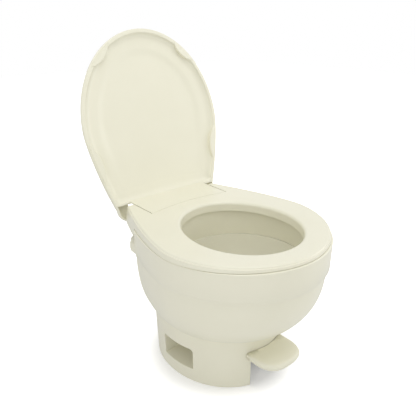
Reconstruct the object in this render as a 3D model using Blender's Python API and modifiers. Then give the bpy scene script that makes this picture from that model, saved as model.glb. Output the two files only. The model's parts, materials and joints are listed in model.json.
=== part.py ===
"""A low gravity-flush toilet for a recreational vehicle, with its lid open.

Metres, +Z up, front towards -Y. The origin is the centre of the outlet, on the
floor. The bowl, the pedestal, the seat and the lid are thin mouldings. A foot
pedal turns a half-ball valve under the bowl through a toothed sector and a
pinion, and pushes the plunger of the water valve as it goes down.
"""
import math

import bmesh
import bpy
from mathutils import Matrix, Vector

# Fits and walls
GAP = 0.0003
RUNNING_GAP = 0.0007
WALL = 0.0040
OVERRUN = 0.0100

# Bowl: plan of the rim band, seen from above
BOWL_HALF_WIDTH = 0.1935
BOWL_WIDEST_Y = -0.0400
BOWL_FRONT_Y = -0.2396
BOWL_TAPER = 0.0275
BOWL_TAPER_LENGTH = 0.1230
BOWL_REAR_Y = 0.0990
BOWL_REAR_CORNER = 0.0220
BOWL_LOWER_REAR_Y = 0.1160
PLAN_CENTRE_Y = -0.0200
# Bowl: heights
RIM_Z = 0.3175
RIM_EDGE = 0.0020
STEP_Z = 0.2608
STEP_INSET = 0.0013
STEP_LIP = 0.0022
STEP_LIP_DROP = 0.0006
STEP_FOOT_Z = 0.2525
STEP_FOOT_INSET = 0.0080
BOWL_FOOT_Z = 0.1180
BOWL_FOOT_EDGE = 0.0025
BOWL_FOOT_INSET = 0.0025
BELLY_POWER = 2.2
BELLY_ROUNDNESS = 1.6
# Bowl: mouth under the seat, and the basin that hangs below it
MOUTH_HALF_WIDTH = 0.1385
MOUTH_WIDEST_Y = -0.0600
MOUTH_FRONT_Y = -0.2015
MOUTH_REAR_Y = 0.0795
MOUTH_FOOT_Z = 0.2530
BASIN_INSET = 0.0020
THROAT_RADIUS = 0.0365
THROAT_Z = 0.1530
THROAT_LIP = 0.0090
BASIN_POWER = 2.6
BASIN_ROUNDNESS = 1.9
FLANGE_WIDTH = 0.0120

# Hinge axis, shared by the seat and the lid
HINGE_Y = 0.1594
HINGE_Z = 0.3160
PIN_RADIUS = 0.0040
PIN_HEAD_RADIUS = 0.0075
PIN_HEAD_LENGTH = 0.0035

# Deck behind the bowl, and the hinge posts on it
DECK_HALF_WIDTH = 0.1400
DECK_FRONT_Y = 0.0942
DECK_REAR_Y = 0.1580
DECK_CORNER = 0.0200
DECK_BOTTOM_Z = 0.2380
DECK_CREASE_Z = 0.2520
DECK_BOTTOM_INSET = 0.0120
DECK_SHELF_Z = 0.2740
DECK_TOP_Z = 0.2965
DECK_TOP_REAR_Y = 0.1335
DECK_EAR_BOTTOM_Z = 0.2430
DECK_EAR_HALF_WIDTH = 0.1522
DECK_EAR_CORNER = 0.0080
DECK_EDGE = 0.0030
POST_INNER_X = 0.1125
POST_WIDTH = 0.0145
POST_RADIUS = 0.0105
POST_FOOT_Y = 0.1140
POST_REAR_Y = 0.1295
POST_UNDERSIDE_Z = 0.3000

# Seat
SEAT_INSET = 0.0035
SEAT_HALF_WIDTH = BOWL_HALF_WIDTH - SEAT_INSET
SEAT_WIDEST_Y = -0.0523
SEAT_FRONT_Y = -0.2334
SEAT_FRONT_POWER = 1.90
SEAT_TAPER = 0.0557
SEAT_TAPER_LENGTH = 0.2000
SEAT_REAR_Y = 0.1700
SEAT_REAR_CORNER = 0.0060
SEAT_TOP_Z = 0.3340
SEAT_SLOPE = 0.0300
SEAT_EDGE = 0.0040
SEAT_FLARE = 0.0065
SEAT_LIFT = 0.0010
ARM_UNDERSIDE_Z = 0.3020
ARM_DROP_START_Y = 0.0800
ARM_DROP_END_Y = 0.1020
SEAT_SKIN = 0.0035
HOLE_HALF_WIDTH = 0.1192
HOLE_WIDEST_Y = -0.0625
HOLE_FRONT_Y = -0.1870
HOLE_REAR_Y = 0.0745
HOLE_EDGE = 0.0055
HOLE_LIP_DROP = 0.0180
HOLE_LIP_WALL = 0.0032
BAY_HALF_WIDTH = 0.1088
BAY_WALL = 0.0030
BUMPER_RADIUS = 0.0080
BUMPER_FRONT_INSET = 0.0850
BUMPER_FRONT_Y = -0.1780
BUMPER_REAR_INSET = 0.0450
BUMPER_REAR_Y = 0.0300

# Lid, in its own plane: across, up the lid from its foot, and back from its lip
LID_FOOT_Y = 0.1885
LID_FOOT_Z = 0.3315
LID_LEAN = 0.2370
LID_TIP = 0.3831
LID_INSET = 0.0055
LID_HALF_WIDTH = SEAT_HALF_WIDTH - LID_INSET
LID_WIDEST = 0.1720
LID_TAPER = 0.0375
LID_TAPER_LENGTH = 0.1580
LID_BOTTOM = -0.0350
LID_CORNER = 0.0270
LID_CENTRE = 0.1750
LIP_WIDTH = 0.0100
DISH_UNIT = 0.0120
LID_DEPTH = 0.0165
LID_SKIN = 0.0032
LID_EDGE = 0.0030
LID_THIN_UP = 0.1300
RIDGE_TOP = 0.0085
RIDGE_BOTTOM = 0.0035
POCKET_BAND = 0.0042
POCKET_DEPTH = 0.0120
PANEL_HALF_WIDTH = 0.1062
PANEL_THICKNESS = 0.0030
PANEL_MIDDLE_Y = 0.1170
PANEL_SIDE_Y = 0.1045
PANEL_ROOT_DEPTH = 0.0040
PAD_HEIGHT = 0.0008
PAD_EDGE = 0.0015
PAD_SET_IN = 0.0037
PAD_LENGTH = 0.0570
BOSS_RADIUS = 0.0145
BOSS_INNER_X = 0.0885

# Pedestal: plan at its top and at the floor
PEDESTAL_HALF_WIDTH = 0.1335
PEDESTAL_MIDDLE_Y = 0.0120
PEDESTAL_FRONT_Y = -0.1400
PEDESTAL_REAR_Y = 0.1650
FOOT_HALF_WIDTH = 0.1300
FOOT_MIDDLE_Y = 0.0080
FOOT_FRONT_Y = -0.1410
FOOT_REAR_Y = 0.1600
PEDESTAL_REAR_POWER = 2.1
PEDESTAL_TOP_Z = BOWL_FOOT_Z - GAP
PEDESTAL_EDGE = 0.0022
FOOT_EDGE = 0.0008
BASE_THICKNESS = 0.0060
BASE_OPENING_FRONT_Y = 0.0700
BASE_OPENING_REAR_Y = 0.1290
CUTOUT_LEFT_X = -0.0390
CUTOUT_RIGHT_X = 0.0560
CUTOUT_TOP_Z = 0.0690
POCKET_FRONT_Y = -0.0460
POCKET_REAR_Y = 0.0400
POCKET_FLOOR_Z = 0.0300
POCKET_SLOPE = 0.0040
POCKET_TOP_Z = 0.0800
POCKET_INNER_X = 0.0645
POCKET_CORNER = 0.0080
POCKET_WALL = 0.0025

# Floor bolts, on each side of the outlet
BOLT_SPACING = 0.1520
BOLT_RADIUS = 0.0040
BOLT_HEAD_RADIUS = 0.0085
BOLT_HEAD_HEIGHT = 0.0040
BOLT_TOP_Z = 0.0560
BOLT_COLUMN_RADIUS = 0.0120
WASHER_RADIUS = 0.0105
WASHER_THICKNESS = 0.0015
NUT_RADIUS = 0.0075
NUT_HEIGHT = 0.0070

# Half-ball valve and its housing
BALL_Z = 0.1050
BALL_RADIUS = 0.0480
BALL_WALL = 0.0035
BALL_CAP_HEIGHT = 0.0290
BALL_EAR_HALF_WIDTH = 0.0100
BALL_HUB_RADIUS = 0.0095
BALL_HUB_LENGTH = 0.0090
HOUSING_CLEARANCE = 0.0015
HOUSING_WALL = 0.0038
HOUSING_TOP_Z = 0.1420
HOUSING_FOOT_RADIUS = 0.0520
OUTLET_RADIUS = 0.0380
OUTLET_BOTTOM_Z = 0.0012
SEAL_OUTER_RADIUS = 0.0410
SEAL_THROAT_RADIUS = 0.0325
RETAINER_RADIUS = 0.0470
RETAINER_HEIGHT = 0.0045
SHAFT_RADIUS = 0.0050
BUSH_RADIUS = 0.0080
BUSH_LENGTH = 0.0085
FLANGE_SEAL_RADIUS = 0.0560
FLANGE_SEAL_HEIGHT = 0.0045

# Pedal train: a sector on the pedal turns a pinion on the ball's shaft
GEAR_RATIO = 5
PINION_TEETH = 12
PINION_PITCH_RADIUS = 0.0150
GEAR_WIDTH = 0.0050
GEAR_OUTER_X = -0.0607
PRESSURE_ANGLE = math.radians(25)
ADDENDUM = 0.0019
DEDENDUM = 0.0027
TOOTH_BACKLASH = 0.0005
PEDAL_PIVOT_Z = 0.0580
PEDAL_STROKE = math.radians(18)
PIVOT_RADIUS = 0.0040
PEDAL_HUB_RADIUS = 0.0090
PEDAL_HUB_RIGHT_X = 0.0560
BRACKET_WIDTH = 0.0050
BRACKET_RADIUS = 0.0110
PAD_CENTRE_X = 0.0030
PAD_HALF_WIDTH = 0.0535
PAD_FRONT_Y = -0.2045
PAD_MIDDLE_Y = -0.1500
PAD_BOTTOM_Z = 0.0625
PAD_TOP_Z = 0.0860
PAD_UNDERCUT = 0.0120
PAD_CLEARANCE = 0.0016
PAD_REAR_LEAN = 0.0026
PEDAL_ARM_HALF_WIDTH = 0.0110
PEDAL_ARM_HEIGHT = 0.0120
PEDAL_ARM_RISE = 0.0048
PEDAL_ARM_REACH = 0.0180
CRANK_RADIUS = 0.0200
CRANK_WIDTH = 0.0080
CRANK_X = 0.0500
SPRING_WIRE = 0.0020
SPRING_TURNS = 4.5
SPRING_PITCH = 0.0034
SPRING_LEG = 0.0100

# Water side
PLUNGER_RADIUS = 0.0035
PLUNGER_LENGTH = 0.0280
VALVE_RADIUS = 0.0095
VALVE_LENGTH = 0.0300
VALVE_FOOT_HALF_WIDTH = 0.0060
VALVE_FOOT_END = 0.0040
VALVE_PORT_RADIUS = 0.0045
VALVE_PORT_LENGTH = 0.0050
TUBE_RADIUS = 0.0045
TUBE_SPACING = 0.0100
INLET_X = 0.0600
INLET_Z = 0.0900
INLET_RADIUS = 0.0105
INLET_BORE = 0.0055
INLET_LENGTH = 0.0330
INLET_COLLAR_RADIUS = 0.0150
INLET_COLLAR_LENGTH = 0.0040
INLET_STUB = 0.0160
INLET_BOSS_RADIUS = 0.0170
INLET_BOSS_REAR_Y = 0.1602
INLET_BOSS_FRONT_Y = 0.1310
NOZZLE_Z = 0.2320
NOZZLE_RADIUS = 0.0060
NOZZLE_HEAD_RADIUS = 0.0095
NOZZLE_HEAD_LENGTH = 0.0030
NOZZLE_DROP = 0.0160
NOZZLE_REACH = 0.0130
SCREW_RADIUS = 0.0020
SCREW_HEAD_RADIUS = 0.0042
SCREW_HEAD_HEIGHT = 0.0025
SCREW_LENGTH = 0.0075
SCREW_HALF_ANGLE = math.radians(48)

# Facets
PLAN_STEPS = 36
CORNER_STEPS = 3
CORNER_SECTOR = (math.radians(110), math.radians(140))
OUTLINE_STEPS = 12
SIDE_STEPS = 7
BELLY_STEPS = 8
BASIN_STEPS = 6
FINE_STEPS = 40
ROUND_STEPS = 24
SMALL_STEPS = 12
BORE_STEPS = 14
ARC_STEPS = 6
SHARP_ANGLE = math.radians(32)
TINY = 0.000001

# Forms, as shares of the sizes that they follow
TAPER_POWER = 1.5
EDGE_TURN_SHARE = 0.3
BUMPER_FOOT_SHARE = 0.85
EAR_SHARES = ((0.0, 0.900), (0.077, 0.946), (0.210, 0.985), (0.370, 1.0), (0.605, 0.994),
              (0.710, 0.955), (0.790, 0.885), (1.0, 0.860))
# How far in from the lid's edge, how far back at its foot, and how far back at its tip
LID_BACK_SHARES = ((0.3, 0.06, 0.06), (0.0, 0.25, 0.20), (0.0, 0.55, 0.32), (0.7, 0.75, 0.41),
                   (3.0, 0.90, 0.54), (4.4, 0.92, 0.60), (7.4, 0.94, 0.74), (14.5, 0.95, 0.81),
                   (17.0, 1.0, 0.96), (23.0, 1.0, 1.0))
LID_DISH_SHARES = ((0.25, 0.42), (1.0, 0.66), (2.95, 0.76), (3.55, 0.94), (5.15, 1.0))
# Across, up the lid, the way that the pad faces, and its rise from the lip as a share of its length
LID_PAD_SHARES = (("top", 0.589, 0.8546, 0.773, 0.155), ("side", 0.865, 0.2809, -0.286, 0.110))
PAD_POWER = 2.8
REAR_BLOCK_POWER = 6.0
PAD_FORM_SHARES = ((1.0, 0.0), (0.33, 0.22), (0.0, 0.56), (0.08, 0.76), (0.33, 0.90), (1.0, 0.97),
                   (2.0, 1.0))

CREAM = (0.72, 0.70, 0.60)
WHITE_RUBBER = (0.62, 0.61, 0.55)
BLACK_RUBBER = (0.02, 0.02, 0.02)
GREY_PLASTIC = (0.25, 0.25, 0.25)
NATURAL_PLASTIC = (0.75, 0.75, 0.72)
STEEL = (0.60, 0.60, 0.58)
BRASS = (0.65, 0.50, 0.24)

CENTRE = Vector((0.0, PLAN_CENTRE_Y))


def clear_scene():
    for item in list(bpy.data.objects):
        bpy.data.objects.remove(item, do_unlink=True)


def collection(name):
    group = bpy.data.collections.new(name)
    bpy.context.scene.collection.children.link(group)
    return group


def material(name, colour, roughness, metallic=0.0):
    made = bpy.data.materials.new(name)
    made.use_nodes = True
    shader = made.node_tree.nodes["Principled BSDF"]
    shader.inputs["Base Color"].default_value = (*colour, 1.0)
    shader.inputs["Roughness"].default_value = roughness
    shader.inputs["Metallic"].default_value = metallic
    return made


def place(name, bm, group, finish=None, parent=None, smooth=True):
    """Turn a bmesh into an object. Its mesh is given in its parent's frame."""
    bmesh.ops.recalc_face_normals(bm, faces=bm.faces)
    mesh = bpy.data.meshes.new(name)
    bm.to_mesh(mesh)
    bm.free()
    if smooth:
        mesh.shade_smooth()
        mesh.set_sharp_from_angle(angle=SHARP_ANGLE)
    item = bpy.data.objects.new(name, mesh)
    group.objects.link(item)
    if finish:
        mesh.materials.append(finish)
    hang(item, parent)
    return item


def hang(item, parent):
    """Under a hinge's empty, pieces are drawn where they stand, in the whole part's frame."""
    item.parent = parent
    if parent in HINGES:
        item.matrix_parent_inverse = Matrix.Translation(-parent.location)


def piece(name, bm, finish, parent=None):
    return place(name, bm, PARTS, finish, parent)


def cutter(name, bm, parent=None):
    item = place(name, bm, CUTTERS, None, parent)
    item.hide_render = True
    item.display_type = "WIRE"
    return item


def combine(item, other, operation="DIFFERENCE"):
    change = item.modifiers.new(other.name, "BOOLEAN")
    change.operation = operation
    change.solver = "EXACT"
    change.object = other


def empty(name, location):
    item = bpy.data.objects.new(name, None)
    item.location = location
    item.empty_display_size = PIN_HEAD_RADIUS
    PARTS.objects.link(item)
    return item


# Outlines seen from above. Each half runs from the front centre to the rear centre.

def mirrored(half):
    other = [Vector((-point.x, point.y)) for point in reversed(half)]
    return half + other[1:-1]


def arc_share(step, steps, power=2.0):
    """Sine and cosine of one step of a quarter turn, squared off by the power."""
    angle = math.pi / 2 * step / steps
    return math.sin(angle) ** (2 / power), math.cos(angle) ** (2 / power)


def oval(half_width, widest_y, front_y, rear_y, front_power=2.0, rear_power=2.0):
    half = []
    for step in range(FINE_STEPS + 1):
        across, along = arc_share(step, FINE_STEPS, front_power)
        half.append(Vector((half_width * across, widest_y + (front_y - widest_y) * along)))
    for step in range(1, FINE_STEPS + 1):
        along, across = arc_share(step, FINE_STEPS, rear_power)
        half.append(Vector((half_width * across, widest_y + (rear_y - widest_y) * along)))
    return mirrored(half)


def tapered(half_width, widest_y, front_y, taper, taper_length, rear_y, corner, power=2.0,
            front_steps=FINE_STEPS, side_steps=FINE_STEPS):
    """A round front, sides that draw in towards the rear, and a straight rear."""
    half = []
    for step in range(front_steps + 1):
        across, along = arc_share(step, front_steps, power)
        half.append(Vector((half_width * across, widest_y + (front_y - widest_y) * along)))
    corner_y = rear_y - corner
    for step in range(1, side_steps + 1):
        y = widest_y + (corner_y - widest_y) * step / side_steps
        drawn_in = taper * ((y - widest_y) / taper_length) ** TAPER_POWER
        half.append(Vector((half_width - drawn_in, y)))
    corner_x = half[-1].x - corner
    for step in range(1, ARC_STEPS + 1):
        along, across = arc_share(step, ARC_STEPS)
        half.append(Vector((corner_x + corner * across, corner_y + corner * along)))
    half.append(Vector((0.0, rear_y)))
    return mirrored(half)


def even_angles(steps=PLAN_STEPS):
    return [2 * math.pi * step / steps for step in range(steps)]


def plan_angles():
    """Angles about the bowl, closer together where its rear corners turn."""
    found = []
    for angle in even_angles():
        low, high = CORNER_SECTOR
        from_front = min(angle, 2 * math.pi - angle)
        steps = CORNER_STEPS if low <= from_front <= high else 1
        found += [angle + 2 * math.pi / PLAN_STEPS * step / steps for step in range(steps)]
    return found


def around(outline, centre=CENTRE, angles=None):
    """The outline's points at given angles about a centre that sees all of it."""
    found = []
    for angle in angles or even_angles():
        ray = Vector((math.sin(angle), -math.cos(angle)))
        best = 0.0
        for index, first in enumerate(outline):
            side = outline[(index + 1) % len(outline)] - first
            start = first - centre
            across = ray.cross(side)
            if across == 0.0:
                continue
            reach = start.cross(side) / across
            share = start.cross(ray) / across
            if -TINY <= share <= 1 + TINY and reach > best:
                best = reach
        found.append(centre + ray * best)
    return found


def inset(ring, distance, centre=CENTRE):
    return [point - (point - centre).normalized() * distance for point in ring]


def smooth_share(share):
    """From 0 to 1, level at both ends."""
    share = min(max(share, 0.0), 1.0)
    return share * share * (3 - 2 * share)


def blend(first, second, share):
    return [one.lerp(two, share) for one, two in zip(first, second)]


def level(ring, z):
    """Points at a height, which may be a rule that gives the height at a y."""
    return [Vector((point.x, point.y, z(point.y) if callable(z) else z)) for point in ring]


def loft(rings, ring_closed=False):
    """Join rings of equal count. The ends get flat caps, or meet each other."""
    bm = bmesh.new()
    rows = [[bm.verts.new(point) for point in ring] for ring in rings]
    pairs = list(zip(rows, rows[1:]))
    if ring_closed:
        pairs.append((rows[-1], rows[0]))
    for lower, upper in pairs:
        count = len(lower)
        for index in range(count):
            after = (index + 1) % count
            bm.faces.new((lower[index], lower[after], upper[after], upper[index]))
    if not ring_closed:
        bm.faces.new(rows[0])
        bm.faces.new(rows[-1])
    bmesh.ops.triangulate(bm, faces=[face for face in bm.faces if len(face.verts) == 4])
    return bm


def box(low, high):
    bm = bmesh.new()
    bmesh.ops.create_cube(bm, size=1.0)
    low = Vector(low)
    high = Vector(high)
    size = high - low
    bmesh.ops.scale(bm, vec=size, verts=bm.verts)
    bmesh.ops.translate(bm, vec=(low + high) / 2, verts=bm.verts)
    return bm


def rod(radius, start, end, steps=ROUND_STEPS, end_radius=None):
    """A cylinder or cone between two points."""
    start = Vector(start)
    end = Vector(end)
    bm = bmesh.new()
    length = (end - start).length
    bmesh.ops.create_cone(
        bm, cap_ends=True, segments=steps, radius1=radius,
        radius2=radius if end_radius is None else end_radius, depth=length)
    turn = Vector((0, 0, 1)).rotation_difference(end - start).to_matrix().to_4x4()
    bmesh.ops.transform(bm, matrix=Matrix.Translation((start + end) / 2) @ turn, verts=bm.verts)
    return bm


def turned(profile, steps=ROUND_STEPS):
    """Radius and height points to turn about Z: a loop, or a line from axis to axis."""
    bm = bmesh.new()
    verts = [bm.verts.new((radius, 0.0, z)) for radius, z in profile]
    for first, second in zip(verts, verts[1:]):
        bm.edges.new((first, second))
    if profile[0][0] > 0.0:
        bm.edges.new((verts[-1], verts[0]))
    return bm


def turned_piece(name, profile, finish, location, steps=ROUND_STEPS, rotation=(0, 0, 0), parent=None):
    bm = turned(profile)
    mesh = bpy.data.meshes.new(name)
    bm.to_mesh(mesh)
    bm.free()
    mesh.materials.append(finish)
    item = bpy.data.objects.new(name, mesh)
    PARTS.objects.link(item)
    item.location = location
    item.rotation_euler = rotation
    item.parent = parent
    screw = item.modifiers.new("turn", "SCREW")
    screw.steps = steps
    screw.render_steps = steps
    screw.use_merge_vertices = True
    screw.merge_threshold = 0.00001
    screw.use_smooth_shade = False
    return item


def prism(points, low_x, high_x):
    """A flat outline in Y and Z, from one X to another."""
    rings = [[Vector((x, point[0], point[1])) for point in points] for x in (low_x, high_x)]
    return loft(rings)


def rounded_box(low, high, radius, axis):
    """A box whose four edges along one axis are rounded."""
    bm = box(low, high)
    edges = [e for e in bm.edges
             if abs((e.verts[0].co - e.verts[1].co).normalized()[axis]) > 0.99]
    bmesh.ops.bevel(bm, geom=edges, offset=radius, segments=5, profile=0.5, affect="EDGES")
    return bm


def mesh_from_curve(curve_item, name, finish, parent=None):
    """The curve as a welded mesh. The curve itself goes."""
    bpy.context.view_layer.update()
    graph = bpy.context.evaluated_depsgraph_get()
    mesh = bpy.data.meshes.new_from_object(curve_item.evaluated_get(graph))
    bm = bmesh.new()
    bm.from_mesh(mesh)
    bmesh.ops.remove_doubles(bm, verts=bm.verts, dist=0.00001)
    bmesh.ops.recalc_face_normals(bm, faces=bm.faces)
    bm.to_mesh(mesh)
    bm.free()
    mesh.materials.clear()
    mesh.materials.append(finish)
    item = bpy.data.objects.new(name, mesh)
    item.matrix_world = curve_item.matrix_world
    PARTS.objects.link(item)
    bpy.data.objects.remove(curve_item, do_unlink=True)
    item.parent = parent
    return item


def tube(name, points, radius, finish, parent=None, resolution=2):
    """A round bar or hose along points."""
    curve = bpy.data.curves.new(name, "CURVE")
    curve.dimensions = "3D"
    curve.bevel_depth = radius
    curve.bevel_resolution = resolution
    curve.use_fill_caps = True
    spline = curve.splines.new("POLY")
    spline.points.add(len(points) - 1)
    for spot, point in zip(spline.points, points):
        spot.co = (*point, 1.0)
    item = bpy.data.objects.new(name + "_path", curve)
    PARTS.objects.link(item)
    return mesh_from_curve(item, name, finish, parent)


def smooth_path(points, count):
    """Points read from one smooth curve through the given ones."""
    spots = [Vector(point) for point in points]
    spots = [2 * spots[0] - spots[1]] + spots + [2 * spots[-1] - spots[-2]]
    path = []
    spans = len(spots) - 3
    for step in range(count):
        place_on = spans * step / (count - 1)
        span = min(int(place_on), spans - 1)
        t = place_on - span
        a, b, c, d = spots[span:span + 4]
        path.append(0.5 * ((2 * b) + (c - a) * t + (2 * a - 5 * b + 4 * c - d) * t * t
                           + (3 * b - a - 3 * c + d) * t ** 3))
    return path


# Rules that more than one piece follows

def seat_top(y):
    return SEAT_TOP_Z + SEAT_SLOPE * y


def panel_front(x):
    share = min(abs(x) / PANEL_HALF_WIDTH, 1.0) ** TAPER_POWER
    return PANEL_MIDDLE_Y + (PANEL_SIDE_Y - PANEL_MIDDLE_Y) * share


def panel_reach(x):
    """How far the front edge of the lid's panel is from the hinge axis."""
    y = panel_front(x)
    return math.hypot(HINGE_Y - y, seat_top(y) - HINGE_Z)


def bowl_band():
    outline = tapered(
        BOWL_HALF_WIDTH, BOWL_WIDEST_Y, BOWL_FRONT_Y, BOWL_TAPER, BOWL_TAPER_LENGTH,
        BOWL_REAR_Y, BOWL_REAR_CORNER)
    return around(outline, angles=plan_angles())


def bowl_lower():
    """The bowl's outline under its step, which reaches further back than the band."""
    outline = tapered(
        BOWL_HALF_WIDTH - STEP_FOOT_INSET, BOWL_WIDEST_Y, BOWL_FRONT_Y + STEP_FOOT_INSET, BOWL_TAPER,
        BOWL_TAPER_LENGTH, BOWL_LOWER_REAR_Y, BOWL_REAR_CORNER)
    return around(outline, angles=plan_angles())


def mouth_outline(distance=0.0, angles=None):
    outline = oval(
        MOUTH_HALF_WIDTH - distance, MOUTH_WIDEST_Y, MOUTH_FRONT_Y + distance, MOUTH_REAR_Y - distance)
    return around(outline, angles=angles)


def pedestal_plan(distance=0.0, angles=None):
    """The pedestal's outline at its top, drawn in by a distance."""
    outline = oval(
        PEDESTAL_HALF_WIDTH, PEDESTAL_MIDDLE_Y, PEDESTAL_FRONT_Y, PEDESTAL_REAR_Y,
        rear_power=PEDESTAL_REAR_POWER)
    return inset(around(outline, angles=angles), distance)


def foot_plan(distance=0.0):
    """The pedestal's outline at the floor, drawn in by a distance."""
    outline = oval(
        FOOT_HALF_WIDTH, FOOT_MIDDLE_Y, FOOT_FRONT_Y, FOOT_REAR_Y, rear_power=PEDESTAL_REAR_POWER)
    return inset(around(outline), distance)


def lid_point(x, up, back):
    """A point of the open lid: across, up from its foot, and back from its lip."""
    return Vector((
        x,
        LID_FOOT_Y + up * math.sin(LID_LEAN) + back * math.cos(LID_LEAN),
        LID_FOOT_Z + up * math.cos(LID_LEAN) - back * math.sin(LID_LEAN)))


def lid_points(ring, back):
    """The lid's plan is drawn with its tip at the front, so its y is turned over."""
    return [lid_point(point.x, -point.y, back) for point in ring]


def spindle(name, clearance):
    """The room that the lid's panel sweeps, a barrel round the hinge axis."""
    rings = []
    half = BAY_HALF_WIDTH
    for step in range(ARC_STEPS * 2 + 1):
        x = half * (step / ARC_STEPS - 1)
        reach = (panel_reach(x) + clearance) / math.cos(math.pi / ROUND_STEPS)
        ring = []
        for turn in range(ROUND_STEPS):
            angle = 2 * math.pi * turn / ROUND_STEPS
            ring.append(Vector((x, HINGE_Y + reach * math.cos(angle), HINGE_Z + reach * math.sin(angle))))
        rings.append(ring)
    return cutter(name, loft(rings))


def belly_ring(share, top, foot):
    """A ring of the round belly, from the step's foot down to the bowl's foot."""
    spread = (1 - share ** BELLY_POWER) ** (1 / BELLY_ROUNDNESS)
    return blend(foot, top, spread)


def basin_ring(share, top, throat):
    spread = (1 - share ** BASIN_POWER) ** (1 / BASIN_ROUNDNESS)
    return blend(throat, top, spread)


def build_bowl():
    """The outer shell with its rim, down inside to the mouth's foot, the deck and the hinge posts."""
    band = bowl_band()
    lower = bowl_lower()
    foot = pedestal_plan(BOWL_FOOT_INSET, plan_angles())
    mouth = mouth_outline(angles=plan_angles())
    mouth_skin = mouth_outline(-WALL, plan_angles())
    shares = [step / BELLY_STEPS for step in range(BELLY_STEPS, -1, -1)]

    def belly_z(share):
        return STEP_FOOT_Z + (BOWL_FOOT_Z + BOWL_FOOT_EDGE - STEP_FOOT_Z) * share

    rings = [level(inset(foot, BOWL_FOOT_EDGE), BOWL_FOOT_Z)]
    rings += [level(belly_ring(share, lower, foot), belly_z(share)) for share in shares]
    rings.append(level(inset(band, STEP_INSET + STEP_LIP), STEP_Z - STEP_LIP_DROP))
    rings.append(level(inset(band, STEP_INSET), STEP_Z))
    rings.append(level(band, RIM_Z - RIM_EDGE))
    rings.append(level(inset(band, RIM_EDGE), RIM_Z))
    rings.append(level(inset(mouth, -RIM_EDGE), RIM_Z))
    rings.append(level(mouth, RIM_Z - RIM_EDGE))
    rings.append(level(mouth, MOUTH_FOOT_Z))
    rings.append(level(mouth_skin, MOUTH_FOOT_Z))
    rings.append(level(mouth_skin, RIM_Z - WALL))
    rings.append(level(inset(band, WALL + STEP_INSET), RIM_Z - WALL))
    rings.append(level(inset(band, WALL + STEP_INSET + STEP_LIP), STEP_Z))
    rings += [level(inset(belly_ring(share, lower, foot), WALL), belly_z(share))
              for share in reversed(shares[1:-1:3])]
    rings.append(level(inset(foot, WALL), BOWL_FOOT_Z + WALL + BOWL_FOOT_EDGE))
    rings.append(level(inset(foot, WALL + FLANGE_WIDTH), BOWL_FOOT_Z + WALL))
    rings.append(level(inset(foot, WALL + FLANGE_WIDTH), BOWL_FOOT_Z))
    bowl = piece("bowl", loft(rings, ring_closed=True), CREAM_GLOSS)

    combine(bowl, deck_block(), "UNION")
    combine(bowl, spindle("deck_trough", RUNNING_GAP * 2))
    for side in (-1, 1):
        combine(bowl, post_block(side), "UNION")
        hole = rod(PIN_RADIUS + GAP, (side * BAY_HALF_WIDTH, HINGE_Y, HINGE_Z),
                   (side * (POST_INNER_X + POST_WIDTH + OVERRUN), HINGE_Y, HINGE_Z), SMALL_STEPS)
        combine(bowl, cutter(f"post_hole_{side:+d}", hole))
    for index, spot in enumerate(screw_spots()):
        hole = rod(SCREW_RADIUS + GAP, (spot.x, spot.y, BOWL_FOOT_Z - OVERRUN),
                   (spot.x, spot.y, BOWL_FOOT_Z + OVERRUN), SMALL_STEPS)
        combine(bowl, cutter(f"bowl_screw_hole_{index}", hole))


def basin_height(share):
    top = MOUTH_FOOT_Z - GAP
    return top + (THROAT_Z - top) * share


def basin_front_y(z):
    """Where the basin's front wall stands at a height."""
    top = MOUTH_FOOT_Z - GAP
    share = (top - z) / (top - THROAT_Z)
    spread = (1 - share ** BASIN_POWER) ** (1 / BASIN_ROUNDNESS)
    return -THROAT_RADIUS + (MOUTH_FRONT_Y + BASIN_INSET + THROAT_RADIUS) * spread


def nozzle_seat_y():
    """A flat face in the basin's wall, as deep as the wall's slope under the nozzle's head."""
    return basin_front_y(NOZZLE_Z - NOZZLE_HEAD_RADIUS)


def build_basin():
    """The cup under the mouth, down to the throat. Its flange is bonded under the mouth's foot."""
    basin = mouth_outline(BASIN_INSET)
    skin = mouth_outline(BASIN_INSET - WALL)
    flange = mouth_outline(-WALL)
    throat = around(oval(THROAT_RADIUS, 0.0, -THROAT_RADIUS, THROAT_RADIUS))
    throat_skin = inset(throat, -WALL, Vector((0.0, 0.0)))
    shares = [step / BASIN_STEPS for step in range(BASIN_STEPS + 1)]
    rings = [level(basin_ring(share, basin, throat), basin_height(share)) for share in shares]
    rings.append(level(throat, THROAT_Z - THROAT_LIP))
    rings.append(level(throat_skin, THROAT_Z - THROAT_LIP))
    rings += [level(basin_ring(share, skin, throat_skin), basin_height(share) - WALL)
              for share in reversed(shares[::2])]
    rings.append(level(flange, basin_height(0.0) - WALL))
    rings.append(level(flange, basin_height(0.0)))
    basin = piece("basin", loft(rings, ring_closed=True), CREAM_GLOSS)
    y = basin_front_y(NOZZLE_Z)
    hole = rod(NOZZLE_RADIUS + GAP, (0, y - WALL * 3, NOZZLE_Z), (0, y + WALL * 2, NOZZLE_Z), BORE_STEPS)
    combine(basin, cutter("nozzle_hole", hole))
    seat_y = nozzle_seat_y()
    spot_face = rod(NOZZLE_HEAD_RADIUS + GAP * 2, (0, seat_y, NOZZLE_Z), (0, seat_y + WALL, NOZZLE_Z))
    combine(basin, cutter("nozzle_spot_face", spot_face))


def rear_block(half_width, rear_y, corner):
    """A straight-sided outline that starts inside the bowl's rear wall."""
    outline = tapered(half_width, DECK_FRONT_Y + corner, DECK_FRONT_Y, 0.0, DECK_CORNER, rear_y, corner,
                      power=REAR_BLOCK_POWER)
    middle = Vector((0.0, (DECK_FRONT_Y + rear_y) / 2))
    return around(outline, middle), middle


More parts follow.
